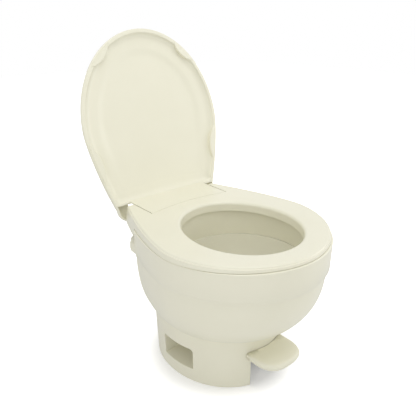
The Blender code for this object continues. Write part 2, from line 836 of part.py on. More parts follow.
def deck_block():
    """The deck: a low rounded shelf, with a shorter step on it that ends in a round ear at each side."""
    shelf, middle = rear_block(DECK_HALF_WIDTH, DECK_REAR_Y, DECK_CORNER)
    rings = [
        level(inset(shelf, DECK_BOTTOM_INSET, middle), DECK_BOTTOM_Z),
        level(shelf, DECK_CREASE_Z),
        level(shelf, DECK_SHELF_Z - DECK_EDGE),
        level(inset(shelf, DECK_EDGE, middle), DECK_SHELF_Z)]
    low = cutter("deck_shelf", loft(rings))
    step, middle = rear_block(DECK_EAR_HALF_WIDTH, DECK_TOP_REAR_Y, DECK_EAR_CORNER)
    rings = []
    for height_share, width_share in EAR_SHARES:
        narrowed = [Vector((point.x * width_share, point.y)) for point in step]
        rings.append(level(narrowed, DECK_EAR_BOTTOM_Z + (DECK_TOP_Z - DECK_EAR_BOTTOM_Z) * height_share))
    high = cutter("deck_step", loft(rings))
    combine(low, high, "UNION")
    return low


def post_block(side):
    """A hinge post: an arm that leans back from the deck to an eye on the axis."""
    points = []
    for step in range(SMALL_STEPS + 1):
        angle = math.radians(-90 + 200 * step / SMALL_STEPS)
        points.append((HINGE_Y + POST_RADIUS * math.cos(angle), HINGE_Z + POST_RADIUS * math.sin(angle)))
    points.append((POST_FOOT_Y, DECK_TOP_Z + POST_RADIUS))
    points.append((POST_FOOT_Y, DECK_SHELF_Z - DECK_EDGE * 2))
    points.append((POST_REAR_Y, DECK_SHELF_Z - DECK_EDGE * 2))
    points.append((POST_REAR_Y, POST_UNDERSIDE_Z))
    inner = side * POST_INNER_X
    outer = side * (POST_INNER_X + POST_WIDTH)
    return cutter(f"post_{side:+d}", prism(points, inner, outer))


def screw_spots():
    """Four screws hold the bowl's foot flange on the pedestal's."""
    angles = (SCREW_HALF_ANGLE, math.pi - SCREW_HALF_ANGLE,
              math.pi + SCREW_HALF_ANGLE, 2 * math.pi - SCREW_HALF_ANGLE)
    return pedestal_plan(BOWL_FOOT_INSET / 2 + WALL + FLANGE_WIDTH / 2, angles)


def seat_outline():
    return tapered(
        SEAT_HALF_WIDTH, SEAT_WIDEST_Y, SEAT_FRONT_Y, SEAT_TAPER, SEAT_TAPER_LENGTH,
        SEAT_REAR_Y, SEAT_REAR_CORNER, SEAT_FRONT_POWER, OUTLINE_STEPS, SIDE_STEPS)


def flared(ring, share):
    """The side leans out towards the floor. Behind the widest part it leans straight sideways."""
    grown = []
    for point in ring:
        out = Vector((point.x, min(point.y - CENTRE.y, 0.0))).normalized()
        grown.append(point + out * SEAT_FLARE * share)
    return grown


def seat_hole(grow=0.0):
    centre = Vector((0.0, HOLE_WIDEST_Y))
    ring = around(oval(HOLE_HALF_WIDTH, HOLE_WIDEST_Y, HOLE_FRONT_Y, HOLE_REAR_Y), centre)
    return inset(ring, -grow, centre)


def build_seat(hinge):
    top = seat_outline()
    rings = [
        level(flared(top, 1.0), ARM_UNDERSIDE_Z),
        level(flared(top, EDGE_TURN_SHARE), lambda y: seat_top(y) - SEAT_EDGE),
        level(inset(top, SEAT_EDGE * EDGE_TURN_SHARE), lambda y: seat_top(y) - SEAT_EDGE * EDGE_TURN_SHARE),
        level(inset(top, SEAT_EDGE), seat_top)]
    seat = piece("seat", loft(rings), CREAM_GLOSS, hinge)

    inner = inset(top, WALL)
    rings = [
        level(flared(inner, 1.0), ARM_UNDERSIDE_Z - OVERRUN),
        level(inner, lambda y: seat_top(y) - SEAT_SKIN)]
    hollow = cutter("seat_hollow", loft(rings), hinge)
    bay_frame = box(
        (-BAY_HALF_WIDTH - BAY_WALL, PANEL_SIDE_Y - BAY_WALL * 3, ARM_UNDERSIDE_Z - OVERRUN * 2),
        (BAY_HALF_WIDTH + BAY_WALL, SEAT_REAR_Y + OVERRUN, SEAT_TOP_Z + OVERRUN * 2))
    combine(hollow, cutter("bay_frame", bay_frame, hinge))
    combine(seat, hollow)
    low_z = ARM_UNDERSIDE_Z - OVERRUN
    seat_underside = RIM_Z + SEAT_LIFT
    front_room = prism([
        (SEAT_FRONT_Y - OVERRUN, low_z), (ARM_DROP_END_Y, low_z), (ARM_DROP_END_Y, ARM_UNDERSIDE_Z),
        (ARM_DROP_START_Y, seat_underside), (SEAT_FRONT_Y - OVERRUN, seat_underside)],
        -SEAT_HALF_WIDTH - OVERRUN, SEAT_HALF_WIDTH + OVERRUN)
    combine(seat, cutter("seat_front_room", front_room, hinge))
    band_room = loft([
        level(inset(bowl_band(), -RUNNING_GAP * 2), low_z),
        level(inset(bowl_band(), -RUNNING_GAP * 2), seat_underside)])
    combine(seat, cutter("bowl_band_room", band_room, hinge))

    lip = loft([
        level(seat_hole(HOLE_LIP_WALL), lambda y: seat_top(y) - HOLE_LIP_DROP),
        level(seat_hole(HOLE_LIP_WALL), lambda y: seat_top(y) - SEAT_SKIN / 2)])
    combine(seat, cutter("hole_lip", lip, hinge), "UNION")
    hole = loft([
        level(seat_hole(), lambda y: seat_top(y) - HOLE_LIP_DROP - OVERRUN),
        level(seat_hole(), lambda y: seat_top(y) - HOLE_EDGE),
        level(seat_hole(HOLE_EDGE * EDGE_TURN_SHARE), lambda y: seat_top(y) - HOLE_EDGE * EDGE_TURN_SHARE),
        level(seat_hole(HOLE_EDGE * (2 - EDGE_TURN_SHARE)),
              lambda y: seat_top(y) + HOLE_EDGE * EDGE_TURN_SHARE)])
    combine(seat, cutter("seat_hole", hole, hinge))

    bay = box(
        (-BAY_HALF_WIDTH, HINGE_Y - POST_RADIUS * 2, ARM_UNDERSIDE_Z - OVERRUN * 2),
        (BAY_HALF_WIDTH, SEAT_REAR_Y + OVERRUN, SEAT_TOP_Z + OVERRUN * 2))
    combine(seat, cutter("bay", bay, hinge))
    barrel = spindle("bay_barrel", RUNNING_GAP)
    hang(barrel, hinge)
    combine(seat, barrel)
    for side in (-1, 1):
        arm_room = box(
            (side * (BAY_HALF_WIDTH + BAY_WALL), HINGE_Y - BOSS_RADIUS, ARM_UNDERSIDE_Z - OVERRUN),
            (side * (POST_INNER_X + POST_WIDTH + RUNNING_GAP), SEAT_REAR_Y + OVERRUN,
             seat_top(HINGE_Y) - SEAT_SKIN))
        combine(seat, cutter(f"arm_room_{side:+d}", arm_room, hinge))
        hole = rod(PIN_RADIUS + GAP, (side * BOSS_INNER_X, HINGE_Y, HINGE_Z),
                   (side * (POST_INNER_X + POST_WIDTH + RUNNING_GAP * 3), HINGE_Y, HINGE_Z), BORE_STEPS)
        combine(seat, cutter(f"arm_hole_{side:+d}", hole, hinge))
    spots = ((BUMPER_FRONT_INSET, BUMPER_FRONT_Y, "front"), (BUMPER_REAR_INSET, BUMPER_REAR_Y, "rear"))
    for drawn_in, y, where in spots:
        x = SEAT_HALF_WIDTH - drawn_in
        for side, hand in ((-1, "right"), (1, "left")):
            top_z = seat_top(y) - SEAT_SKIN - GAP - SEAT_SLOPE * BUMPER_RADIUS
            foot = rod(BUMPER_RADIUS * BUMPER_FOOT_SHARE, (side * x, y, RIM_Z + GAP), (side * x, y, top_z),
                       SMALL_STEPS, BUMPER_RADIUS)
            piece(f"seat_bumper_{where}_{hand}", foot, RUBBER_PALE, hinge)


def lid_outline():
    return tapered(
        LID_HALF_WIDTH, -LID_WIDEST, -LID_TIP, LID_TAPER, LID_TAPER_LENGTH, -LID_BOTTOM, LID_CORNER,
        front_steps=OUTLINE_STEPS, side_steps=SIDE_STEPS)


def build_lid(hinge):
    centre = Vector((0.0, -LID_CENTRE))
    ring = lid_outline()

    def section(distance, back):
        return lid_points(inset(ring, distance, centre), back)

    def back_section(out, foot_share, tip_share):
        points = []
        for point in inset(ring, LID_EDGE * out, centre):
            thin = smooth_share(-point.y / LID_THIN_UP)
            points.append(lid_point(point.x, -point.y, LID_DEPTH * (foot_share + (tip_share - foot_share) * thin)))
        return points

    rings = [section(LID_EDGE, 0.0)]
    rings += [back_section(*shares) for shares in LID_BACK_SHARES]
    lid = piece("lid", loft(rings), CREAM_GLOSS, hinge)

    dish_outline = tapered(
        LID_HALF_WIDTH - LIP_WIDTH, -LID_WIDEST, -LID_TIP + LIP_WIDTH, LID_TAPER, LID_TAPER_LENGTH,
        -RIDGE_TOP, LIP_WIDTH, front_steps=OUTLINE_STEPS, side_steps=SIDE_STEPS)
    deep = LID_DEPTH - LID_SKIN
    rings = [lid_points(dish_outline, -OVERRUN), lid_points(dish_outline, LID_EDGE * EDGE_TURN_SHARE)]
    rings += [lid_points(inset(dish_outline, DISH_UNIT * inward, centre), deep * down)
              for inward, down in LID_DISH_SHARES]
    dish = loft(rings)
    combine(lid, cutter("lid_dish", dish, hinge))

    for side in (-1, 1):
        combine(lid, pocket_block(side, inset(ring, POCKET_BAND, centre), hinge))
    middle = box_in_lid(-PANEL_HALF_WIDTH, PANEL_HALF_WIDTH, LID_BOTTOM - OVERRUN, RIDGE_BOTTOM,
                        -OVERRUN, LID_DEPTH + OVERRUN)
    combine(lid, cutter("lid_middle", middle, hinge))
    combine(lid, panel_block(hinge), "UNION")
    for side in (-1, 1):
        inner = side * BOSS_INNER_X
        outer = side * (PANEL_HALF_WIDTH - GAP)
        points = []
        for step in range(SMALL_STEPS + 1):
            angle = math.pi + math.pi * step / SMALL_STEPS
            points.append((HINGE_Y + BOSS_RADIUS * math.cos(angle),
                           HINGE_Z + BOSS_RADIUS * math.sin(angle)))
        for y in (HINGE_Y + BOSS_RADIUS, HINGE_Y - BOSS_RADIUS):
            points.append((y, seat_top(y) - PANEL_THICKNESS / 2))
        combine(lid, cutter(f"lid_boss_{side:+d}", prism(points, inner, outer), hinge), "UNION")
        hole = rod(PIN_RADIUS + GAP, (inner - side * OVERRUN, HINGE_Y, HINGE_Z),
                   (outer + side * OVERRUN, HINGE_Y, HINGE_Z), SMALL_STEPS)
        combine(lid, cutter(f"lid_boss_hole_{side:+d}", hole, hinge))
    for side in (-1, 1):
        for where, *shares in LID_PAD_SHARES:
            pad = cutter(f"lid_pad_{where}_{side:+d}", pad_disc(side, *shares), hinge)
            within = inset(ring, PAD_SET_IN, centre)
            edge = loft([lid_points(within, -OVERRUN), lid_points(within, LID_DEPTH / 2)])
            combine(pad, cutter(f"lid_pad_edge_{where}_{side:+d}", edge, hinge), "INTERSECT")
            combine(lid, pad, "UNION")


def box_in_lid(low_x, high_x, low_up, high_up, front, back):
    corners = ((low_x, low_up), (high_x, low_up), (high_x, high_up), (low_x, high_up))
    return loft([[lid_point(x, up, depth) for x, up in corners] for depth in (front, back)])


def pocket_block(side, outline, hinge):
    """The hollow in each foot corner of the lid, round the end of the seat's arm."""
    rings = [lid_points(outline, -OVERRUN), lid_points(outline, POCKET_DEPTH)]
    pocket = cutter(f"lid_pocket_{side:+d}", loft(rings), hinge)
    ends = sorted((side * (PANEL_HALF_WIDTH - GAP * 4), side * (LID_HALF_WIDTH + OVERRUN)))
    corner = box_in_lid(*ends, LID_BOTTOM - OVERRUN, RIDGE_BOTTOM - GAP, -OVERRUN * 2, LID_DEPTH + OVERRUN)
    combine(pocket, cutter(f"lid_corner_{side:+d}", corner, hinge), "INTERSECT")
    return pocket


def panel_block(hinge):
    """The flat panel at the lid's foot, flush with the seat between its arms."""
    plan = []
    for step in range(ARC_STEPS * 2 + 1):
        x = PANEL_HALF_WIDTH * (step / ARC_STEPS - 1)
        plan.append(Vector((x, panel_front(x))))
    root = LID_FOOT_Y + PANEL_ROOT_DEPTH
    plan.append(Vector((PANEL_HALF_WIDTH, root)))
    plan.append(Vector((-PANEL_HALF_WIDTH, root)))
    rings = [
        level(plan, lambda y: seat_top(y) - PANEL_THICKNESS),
        level(plan, seat_top)]
    return cutter("lid_panel", loft(rings), hinge)


def pad_disc(side, across_share, up_share, facing, rise_share):
    """A disc whose rim shows in front of the lip as a lens-shaped pad, on which the closed lid rests."""
    rise = PAD_LENGTH * rise_share
    radius = ((PAD_LENGTH / 2) ** 2 + rise ** 2) / (2 * rise)
    out = Vector((side * math.cos(facing), math.sin(facing)))
    middle = Vector((side * LID_HALF_WIDTH * across_share, LID_TIP * up_share)) + out * (radius - rise)
    rings = []
    for drawn_in, back in ((0.0, LID_DEPTH * LID_DISH_SHARES[1][1]), (0.0, PAD_EDGE - PAD_HEIGHT),
                           (PAD_EDGE, -PAD_HEIGHT)):
        ring = []
        for step in range(FINE_STEPS):
            angle = 2 * math.pi * step / FINE_STEPS
            x, up = middle + (radius - drawn_in) * Vector((math.cos(angle), math.sin(angle)))
            ring.append(lid_point(x, up, back))
        rings.append(ring)
    return loft(rings)


def build_hinge_pins():
    for side, hand in ((-1, "right"), (1, "left")):
        head_end = side * (BOSS_INNER_X - GAP)
        head_start = head_end - side * PIN_HEAD_LENGTH
        end = side * (POST_INNER_X + POST_WIDTH + RUNNING_GAP)
        pin = piece(f"hinge_pin_{hand}", rod(PIN_RADIUS, (head_end, HINGE_Y, HINGE_Z),
                                             (end, HINGE_Y, HINGE_Z), SMALL_STEPS), NATURAL)
        head = rod(PIN_HEAD_RADIUS, (head_start, HINGE_Y, HINGE_Z), (head_end + side * GAP / 2, HINGE_Y, HINGE_Z),
                   SMALL_STEPS)
        combine(pin, cutter(f"pin_head_{hand}", head), "UNION")


def build_pedestal():
    """The skirt, with its top flange and the two bolt pockets."""
    rings = [
        level(foot_plan(FOOT_EDGE), 0.0),
        level(foot_plan(), FOOT_EDGE),
        level(pedestal_plan(), PEDESTAL_TOP_Z - PEDESTAL_EDGE),
        level(pedestal_plan(PEDESTAL_EDGE), PEDESTAL_TOP_Z)]
    pedestal = piece("pedestal", loft(rings), CREAM_GLOSS)

    flange_inside = pedestal_plan(WALL + FLANGE_WIDTH)
    rings = [
        level(foot_plan(WALL), -OVERRUN),
        level(foot_plan(WALL), FOOT_EDGE),
        level(pedestal_plan(WALL), PEDESTAL_TOP_Z - WALL),
        level(flange_inside, PEDESTAL_TOP_Z - WALL),
        level(flange_inside, PEDESTAL_TOP_Z + OVERRUN)]
    room = cutter("pedestal_room", loft(rings))
    for side in (-1, 1):
        inner = side * (POCKET_INNER_X - POCKET_WALL)
        outer = side * (PEDESTAL_HALF_WIDTH + OVERRUN)
        walls = rounded_box(
            (min(inner, outer), POCKET_FRONT_Y - POCKET_WALL, POCKET_FLOOR_Z - POCKET_WALL),
            (max(inner, outer), POCKET_REAR_Y + POCKET_WALL, POCKET_TOP_Z + POCKET_WALL), POCKET_CORNER, 0)
        combine(room, cutter(f"pocket_walls_{side:+d}", walls))
    boss = rod(INLET_BOSS_RADIUS, (INLET_X, INLET_BOSS_FRONT_Y, INLET_Z), (INLET_X, INLET_BOSS_REAR_Y, INLET_Z))
    combine(pedestal, room)
    combine(pedestal, cutter("inlet_boss", boss), "UNION")
    for side in (-1, 1):
        combine(pedestal, pocket_cut(side))
        bolt_x = side * BOLT_SPACING / 2
        hole = rod(BOLT_RADIUS + GAP * 2, (bolt_x, 0, POCKET_FLOOR_Z - OVERRUN), (bolt_x, 0, POCKET_TOP_Z),
                   SMALL_STEPS)
        combine(pedestal, cutter(f"pocket_bolt_hole_{side:+d}", hole))
    cutout = box((CUTOUT_LEFT_X, FOOT_FRONT_Y - OVERRUN, -OVERRUN),
                 (CUTOUT_RIGHT_X, base_web_y(), CUTOUT_TOP_Z))
    combine(pedestal, cutter("pedal_cutout", cutout))
    inlet_hole = rod(INLET_RADIUS + GAP, (INLET_X, INLET_BOSS_FRONT_Y - OVERRUN, INLET_Z),
                     (INLET_X, INLET_BOSS_REAR_Y + OVERRUN, INLET_Z), ROUND_STEPS)
    combine(pedestal, cutter("inlet_hole", inlet_hole))
    for index, spot in enumerate(screw_spots()):
        hole = rod(SCREW_RADIUS + GAP, (spot.x, spot.y, PEDESTAL_TOP_Z - OVERRUN),
                   (spot.x, spot.y, PEDESTAL_TOP_Z + OVERRUN), SMALL_STEPS)
        combine(pedestal, cutter(f"pedestal_screw_hole_{index}", hole))


def base_web_y():
    """The web in front of the outlet. The pedal spring's rear leg rests against it."""
    return PIVOT_Y + PEDAL_HUB_RADIUS + SPRING_WIRE + SPRING_WIRE / 2 + GAP


def build_base_plate():
    """The plate that carries the valve housing, the bolt columns and the pedal's pivot brackets."""
    outline = foot_plan(WALL + GAP)
    plate = piece("base_plate", loft([level(outline, 0.0), level(outline, BASE_THICKNESS)]), CREAM_GLOSS)
    for side in (-1, 1):
        bolt_x = side * BOLT_SPACING / 2
        column = rod(BOLT_COLUMN_RADIUS, (bolt_x, 0, BASE_THICKNESS / 2),
                     (bolt_x, 0, POCKET_FLOOR_Z - POCKET_WALL - GAP))
        combine(plate, cutter(f"bolt_column_{side:+d}", column), "UNION")
        hole = rod(BOLT_RADIUS + GAP * 2, (bolt_x, 0, -OVERRUN), (bolt_x, 0, POCKET_FLOOR_Z + OVERRUN), SMALL_STEPS)
        combine(plate, cutter(f"bolt_hole_{side:+d}", hole))
        recess = rod(BOLT_HEAD_RADIUS + RUNNING_GAP, (bolt_x, 0, -OVERRUN),
                     (bolt_x, 0, OUTLET_BOTTOM_Z + BOLT_HEAD_HEIGHT + GAP * 2), SMALL_STEPS)
        combine(plate, cutter(f"bolt_recess_{side:+d}", recess))
    outlet = rod(OUTLET_RADIUS + HOUSING_WALL + RUNNING_GAP * 2, (0, 0, -OVERRUN),
                 (0, 0, BASE_THICKNESS + OVERRUN))
    combine(plate, cutter("outlet_hole", outlet))
    seal_recess = rod(FLANGE_SEAL_RADIUS + RUNNING_GAP * 2, (0, 0, -OVERRUN),
                      (0, 0, FLANGE_SEAL_HEIGHT + GAP * 2))
    combine(plate, cutter("flange_seal_recess", seal_recess))
    cutout = box((CUTOUT_LEFT_X, FOOT_FRONT_Y - OVERRUN, -OVERRUN),
                 (CUTOUT_RIGHT_X, base_web_y(), BASE_THICKNESS + OVERRUN))
    combine(plate, cutter("base_cutout", cutout))
    opening = box((-POCKET_INNER_X, BASE_OPENING_FRONT_Y, -OVERRUN),
                  (POCKET_INNER_X, BASE_OPENING_REAR_Y, BASE_THICKNESS + OVERRUN))
    combine(plate, cutter("base_rear_opening", opening))
    for name, inner in (("right", GEAR_OUTER_X - RUNNING_GAP), ("left", PEDAL_HUB_RIGHT_X + RUNNING_GAP)):
        outer = inner + math.copysign(BRACKET_WIDTH, inner)
        points = [(PIVOT_Y - BRACKET_RADIUS, BASE_THICKNESS / 2)]
        for step in range(ARC_STEPS + 1):
            angle = math.pi * (1 - step / ARC_STEPS)
            points.append((PIVOT_Y + BRACKET_RADIUS * math.cos(angle),
                           PEDAL_PIVOT_Z + BRACKET_RADIUS * math.sin(angle)))
        points.append((PIVOT_Y + BRACKET_RADIUS, BASE_THICKNESS / 2))
        combine(plate, cutter(f"pivot_bracket_{name}", prism(points, inner, outer)), "UNION")
    pivot_hole = rod(PIVOT_RADIUS + GAP, (GEAR_OUTER_X - OVERRUN, PIVOT_Y, PEDAL_PIVOT_Z),
                     (PEDAL_HUB_RIGHT_X + OVERRUN, PIVOT_Y, PEDAL_PIVOT_Z), SMALL_STEPS)
    combine(plate, cutter("pivot_hole", pivot_hole))


def pocket_cut(side):
    """The bolt pocket in the pedestal's side, with a floor that falls outwards."""
    rings = []
    for x, fall in ((POCKET_INNER_X, 0.0), (PEDESTAL_HALF_WIDTH + OVERRUN, POCKET_SLOPE)):
        floor = POCKET_FLOOR_Z + POCKET_SLOPE - fall
        ring = [Vector((side * x, POCKET_REAR_Y, floor)), Vector((side * x, POCKET_REAR_Y, POCKET_TOP_Z))]
        for step in range(ARC_STEPS + 1):
            along, across = arc_share(step, ARC_STEPS)
            ring.append(Vector((side * x, POCKET_FRONT_Y + POCKET_CORNER * (1 - along),
                                POCKET_TOP_Z - POCKET_CORNER * (1 - across))))
        ring.append(Vector((side * x, POCKET_FRONT_Y, floor)))
        rings.append(ring)
    return cutter(f"pocket_{side:+d}", loft(rings))


def build_floor_bolts():
    seat_z = POCKET_FLOOR_Z + POCKET_SLOPE
    for side, hand in ((-1, "right"), (1, "left")):
        x = side * BOLT_SPACING / 2
        head_top = OUTLET_BOTTOM_Z + BOLT_HEAD_HEIGHT
        turned_piece(f"floor_bolt_{hand}", [
            (0, BOLT_TOP_Z), (BOLT_RADIUS, BOLT_TOP_Z), (BOLT_RADIUS, head_top),
            (BOLT_HEAD_RADIUS, head_top), (BOLT_HEAD_RADIUS, OUTLET_BOTTOM_Z), (0, OUTLET_BOTTOM_Z)],
            BRASS_METAL, (x, 0, 0), SMALL_STEPS)
        low = seat_z + GAP
        high = low + WASHER_THICKNESS
        turned_piece(f"bolt_washer_{hand}", [
            (WASHER_RADIUS, high), (WASHER_RADIUS, low), (BOLT_RADIUS + GAP, low), (BOLT_RADIUS + GAP, high)],
            STEEL_METAL, (x, 0, 0), SMALL_STEPS)
        low = high + GAP
        high = low + NUT_HEIGHT
        nut = piece(f"bolt_nut_{hand}", rod(NUT_RADIUS, (x, 0, low), (x, 0, high), 6), STEEL_METAL)
        bore = rod(BOLT_RADIUS + GAP, (x, 0, low - OVERRUN), (x, 0, high + OVERRUN), SMALL_STEPS)
        combine(nut, cutter(f"nut_bore_{hand}", bore))


def sphere(radius, centre, steps=ROUND_STEPS):
    bm = bmesh.new()
    bmesh.ops.create_uvsphere(bm, u_segments=steps, v_segments=steps // 2, radius=radius)
    bmesh.ops.translate(bm, vec=centre, verts=bm.verts)
    return bm


def build_ball(axle):
    """A half-ball: a cap of a sphere with an ear on each side, down to its hubs."""
    ball = piece("half_ball", sphere(BALL_RADIUS, (0, 0, 0)), NATURAL, axle)
    combine(ball, cutter("ball_inside", sphere(BALL_RADIUS - BALL_WALL, (0, 0, 0)), axle))
    reach = BALL_RADIUS + OVERRUN
    below = box((-reach, -reach, -reach), (reach, reach, -BALL_EAR_HALF_WIDTH))
    combine(ball, cutter("ball_below", below, axle))
    for side in (-1, 1):
        near = side * BALL_EAR_HALF_WIDTH
        far = side * reach
        beside = box((-reach, min(near, far), -reach), (reach, max(near, far), BALL_CAP_HEIGHT))
        combine(ball, cutter(f"ball_beside_{side:+d}", beside, axle))
    for side in (-1, 1):
        outer = side * (BALL_RADIUS - GAP * 4)
        inner = outer - side * BALL_HUB_LENGTH
        hub = rod(BALL_HUB_RADIUS, (inner, 0, 0), (outer, 0, 0), SMALL_STEPS)
        combine(ball, cutter(f"ball_hub_{side:+d}", hub, axle), "UNION")
        bore = rod(SHAFT_RADIUS + GAP, (inner - side * OVERRUN, 0, 0), (outer + side * OVERRUN, 0, 0),
                   SMALL_STEPS)
        combine(ball, cutter(f"ball_bore_{side:+d}", bore, axle))


def involute(base, radius):
    """Angle that the involute of a base circle has turned at a radius."""
    if radius <= base:
        return 0.0
    tangent = math.sqrt((radius / base) ** 2 - 1)
    return tangent - math.atan(tangent)


def gear_tooth(pitch_radius, teeth, angle):
    """Points of one tooth, root to root, about an angle."""
    base = pitch_radius * math.cos(PRESSURE_ANGLE)
    root = pitch_radius - DEDENDUM
    tip = pitch_radius + ADDENDUM
    half = math.pi / (2 * teeth) - TOOTH_BACKLASH / (2 * pitch_radius)
    at_pitch = involute(base, pitch_radius)
    flank = []
    for step in range(5):
        radius = root + (tip - root) * step / 4
        flank.append((radius, half + at_pitch - involute(base, radius)))
    points = [(radius, angle - width) for radius, width in flank]
    points += [(radius, angle + width) for radius, width in reversed(flank)]
    return [(radius * math.cos(turn), radius * math.sin(turn)) for radius, turn in points]


def build_drive_shaft(axle):
    """The ball's driven shaft, with the pinion on its outer end."""
    points = []
    towards_pedal = math.atan2(PEDAL_PIVOT_Z - BALL_Z, PIVOT_Y)
    pitch = 2 * math.pi / PINION_TEETH
    for tooth in range(PINION_TEETH):
        points += gear_tooth(PINION_PITCH_RADIUS, PINION_TEETH, towards_pedal + pitch * (tooth + 0.5))
    pinion = prism(points, GEAR_OUTER_X, GEAR_OUTER_X + GEAR_WIDTH)
    shaft = piece("drive_pinion", pinion, GREY, axle)
    inner = -(BALL_RADIUS - BALL_HUB_LENGTH)
    bar = rod(SHAFT_RADIUS, (GEAR_OUTER_X - RUNNING_GAP, 0, 0), (inner, 0, 0), SMALL_STEPS)
    combine(shaft, cutter("drive_shaft_bar", bar, axle), "UNION")
    stub = rod(SHAFT_RADIUS, (-inner, 0, 0), (-GEAR_OUTER_X - RUNNING_GAP, 0, 0), SMALL_STEPS)
    piece("idler_shaft", stub, STEEL_METAL, axle)


def build_valve_housing():
    cavity = BALL_RADIUS + HOUSING_CLEARANCE
    outer = cavity + HOUSING_WALL
    mouth = SEAL_OUTER_RADIUS + GAP
    outside = []
    inside = []
    for step in range(SMALL_STEPS + 1):
        angle = math.radians(55 - 110 * step / SMALL_STEPS)
        outside.append((outer * math.cos(angle), BALL_Z + outer * math.sin(angle)))
        inside.append((cavity * math.cos(angle), BALL_Z + cavity * math.sin(angle)))
    profile = [(mouth, HOUSING_TOP_Z), (mouth + HOUSING_WALL, HOUSING_TOP_Z)]
    profile += [spot for spot in outside if spot[0] > mouth + HOUSING_WALL + GAP]
    foot_z = BASE_THICKNESS + GAP
    neck = OUTLET_RADIUS + HOUSING_WALL
    profile += [(neck, outside[-1][1] - WALL * 2), (neck, foot_z + WALL),
                (HOUSING_FOOT_RADIUS, foot_z + WALL), (HOUSING_FOOT_RADIUS, foot_z), (neck, foot_z),
                (neck, OUTLET_BOTTOM_Z), (OUTLET_RADIUS, OUTLET_BOTTOM_Z)]
    profile += [spot for spot in reversed(inside)
                if spot[1] < BALL_Z and spot[0] > OUTLET_RADIUS or spot[0] > mouth + GAP]
    housing = turned_piece("valve_housing", profile, GREY, (0, 0, 0), ROUND_STEPS)
    for side in (-1, 1):
        hole = rod(BUSH_RADIUS + GAP, (side * (cavity - WALL * 2), 0, BALL_Z),
                   (side * (outer + WALL), 0, BALL_Z), BORE_STEPS)
        combine(housing, cutter(f"bush_hole_{side:+d}", hole))


def build_shaft_bushes():
    outer_x = BALL_RADIUS + HOUSING_CLEARANCE + HOUSING_WALL + GAP
    for side, hand in ((-1, "right"), (1, "left")):
        inner = side * (outer_x - BUSH_LENGTH + HOUSING_CLEARANCE * 2)
        bush = piece(f"shaft_bush_{hand}", rod(BUSH_RADIUS, (inner, 0, BALL_Z), (side * outer_x, 0, BALL_Z),
                                               SMALL_STEPS), NATURAL)
        bore = rod(SHAFT_RADIUS + GAP, (inner - side * OVERRUN, 0, BALL_Z),
                   (side * (outer_x + OVERRUN), 0, BALL_Z), SMALL_STEPS)
        combine(bush, cutter(f"bush_bore_{hand}", bore))


def build_seals():
    ball_clear = BALL_RADIUS + GAP
    lip_z = BALL_Z + math.sqrt(ball_clear ** 2 - SEAL_THROAT_RADIUS ** 2)
    seat_z = BALL_Z + math.sqrt(ball_clear ** 2 - (SEAL_OUTER_RADIUS - WALL) ** 2)
    top_z = THROAT_Z - THROAT_LIP - GAP
    seal_top = HOUSING_TOP_Z - GAP
    turned_piece("ball_seal", [
        (SEAL_OUTER_RADIUS, seal_top), (SEAL_OUTER_RADIUS, seat_z),
        (SEAL_OUTER_RADIUS - WALL, seat_z), (SEAL_THROAT_RADIUS, lip_z), (SEAL_THROAT_RADIUS, seal_top)],
        RUBBER_BLACK, (0, 0, 0), ROUND_STEPS)
    turned_piece("seal_retainer", [
        (RETAINER_RADIUS, top_z), (RETAINER_RADIUS, HOUSING_TOP_Z + GAP),
        (SEAL_THROAT_RADIUS + WALL / 2, HOUSING_TOP_Z + GAP), (SEAL_THROAT_RADIUS + WALL / 2, top_z)],
        GREY, (0, 0, 0), ROUND_STEPS)
    turned_piece("flange_seal", [
        (FLANGE_SEAL_RADIUS, FLANGE_SEAL_HEIGHT), (FLANGE_SEAL_RADIUS, GAP),
        (OUTLET_RADIUS + HOUSING_WALL + GAP * 2, GAP), (OUTLET_RADIUS + HOUSING_WALL + GAP * 2, FLANGE_SEAL_HEIGHT)],
        RUBBER_BLACK, (0, 0, 0), ROUND_STEPS)


def pad_plan(drawn_in, clearance):
    """The pedal's tread from above: a round front, and a rear that follows the pedestal."""
    plan = []
    half = PAD_HALF_WIDTH - drawn_in
    front_y = PAD_FRONT_Y + drawn_in
    steps = FINE_STEPS // 2
    for step in range(steps + 1):
        angle = math.pi * step / steps
        across = math.copysign(abs(math.cos(angle)) ** (2 / PAD_POWER), -math.cos(angle))
        along = math.sin(angle) ** (2 / PAD_POWER)
        plan.append(Vector((PAD_CENTRE_X + half * across, PAD_MIDDLE_Y + (front_y - PAD_MIDDLE_Y) * along)))
    for step in range(steps + 1):
        x = PAD_CENTRE_X + half * (1 - 2 * step / steps)
        share = math.sqrt(1 - (x / PEDESTAL_HALF_WIDTH) ** 2)
        wall_y = PEDESTAL_MIDDLE_Y + (PEDESTAL_FRONT_Y - PEDESTAL_MIDDLE_Y) * share
        plan.append(Vector((x, wall_y - clearance)))
    return plan


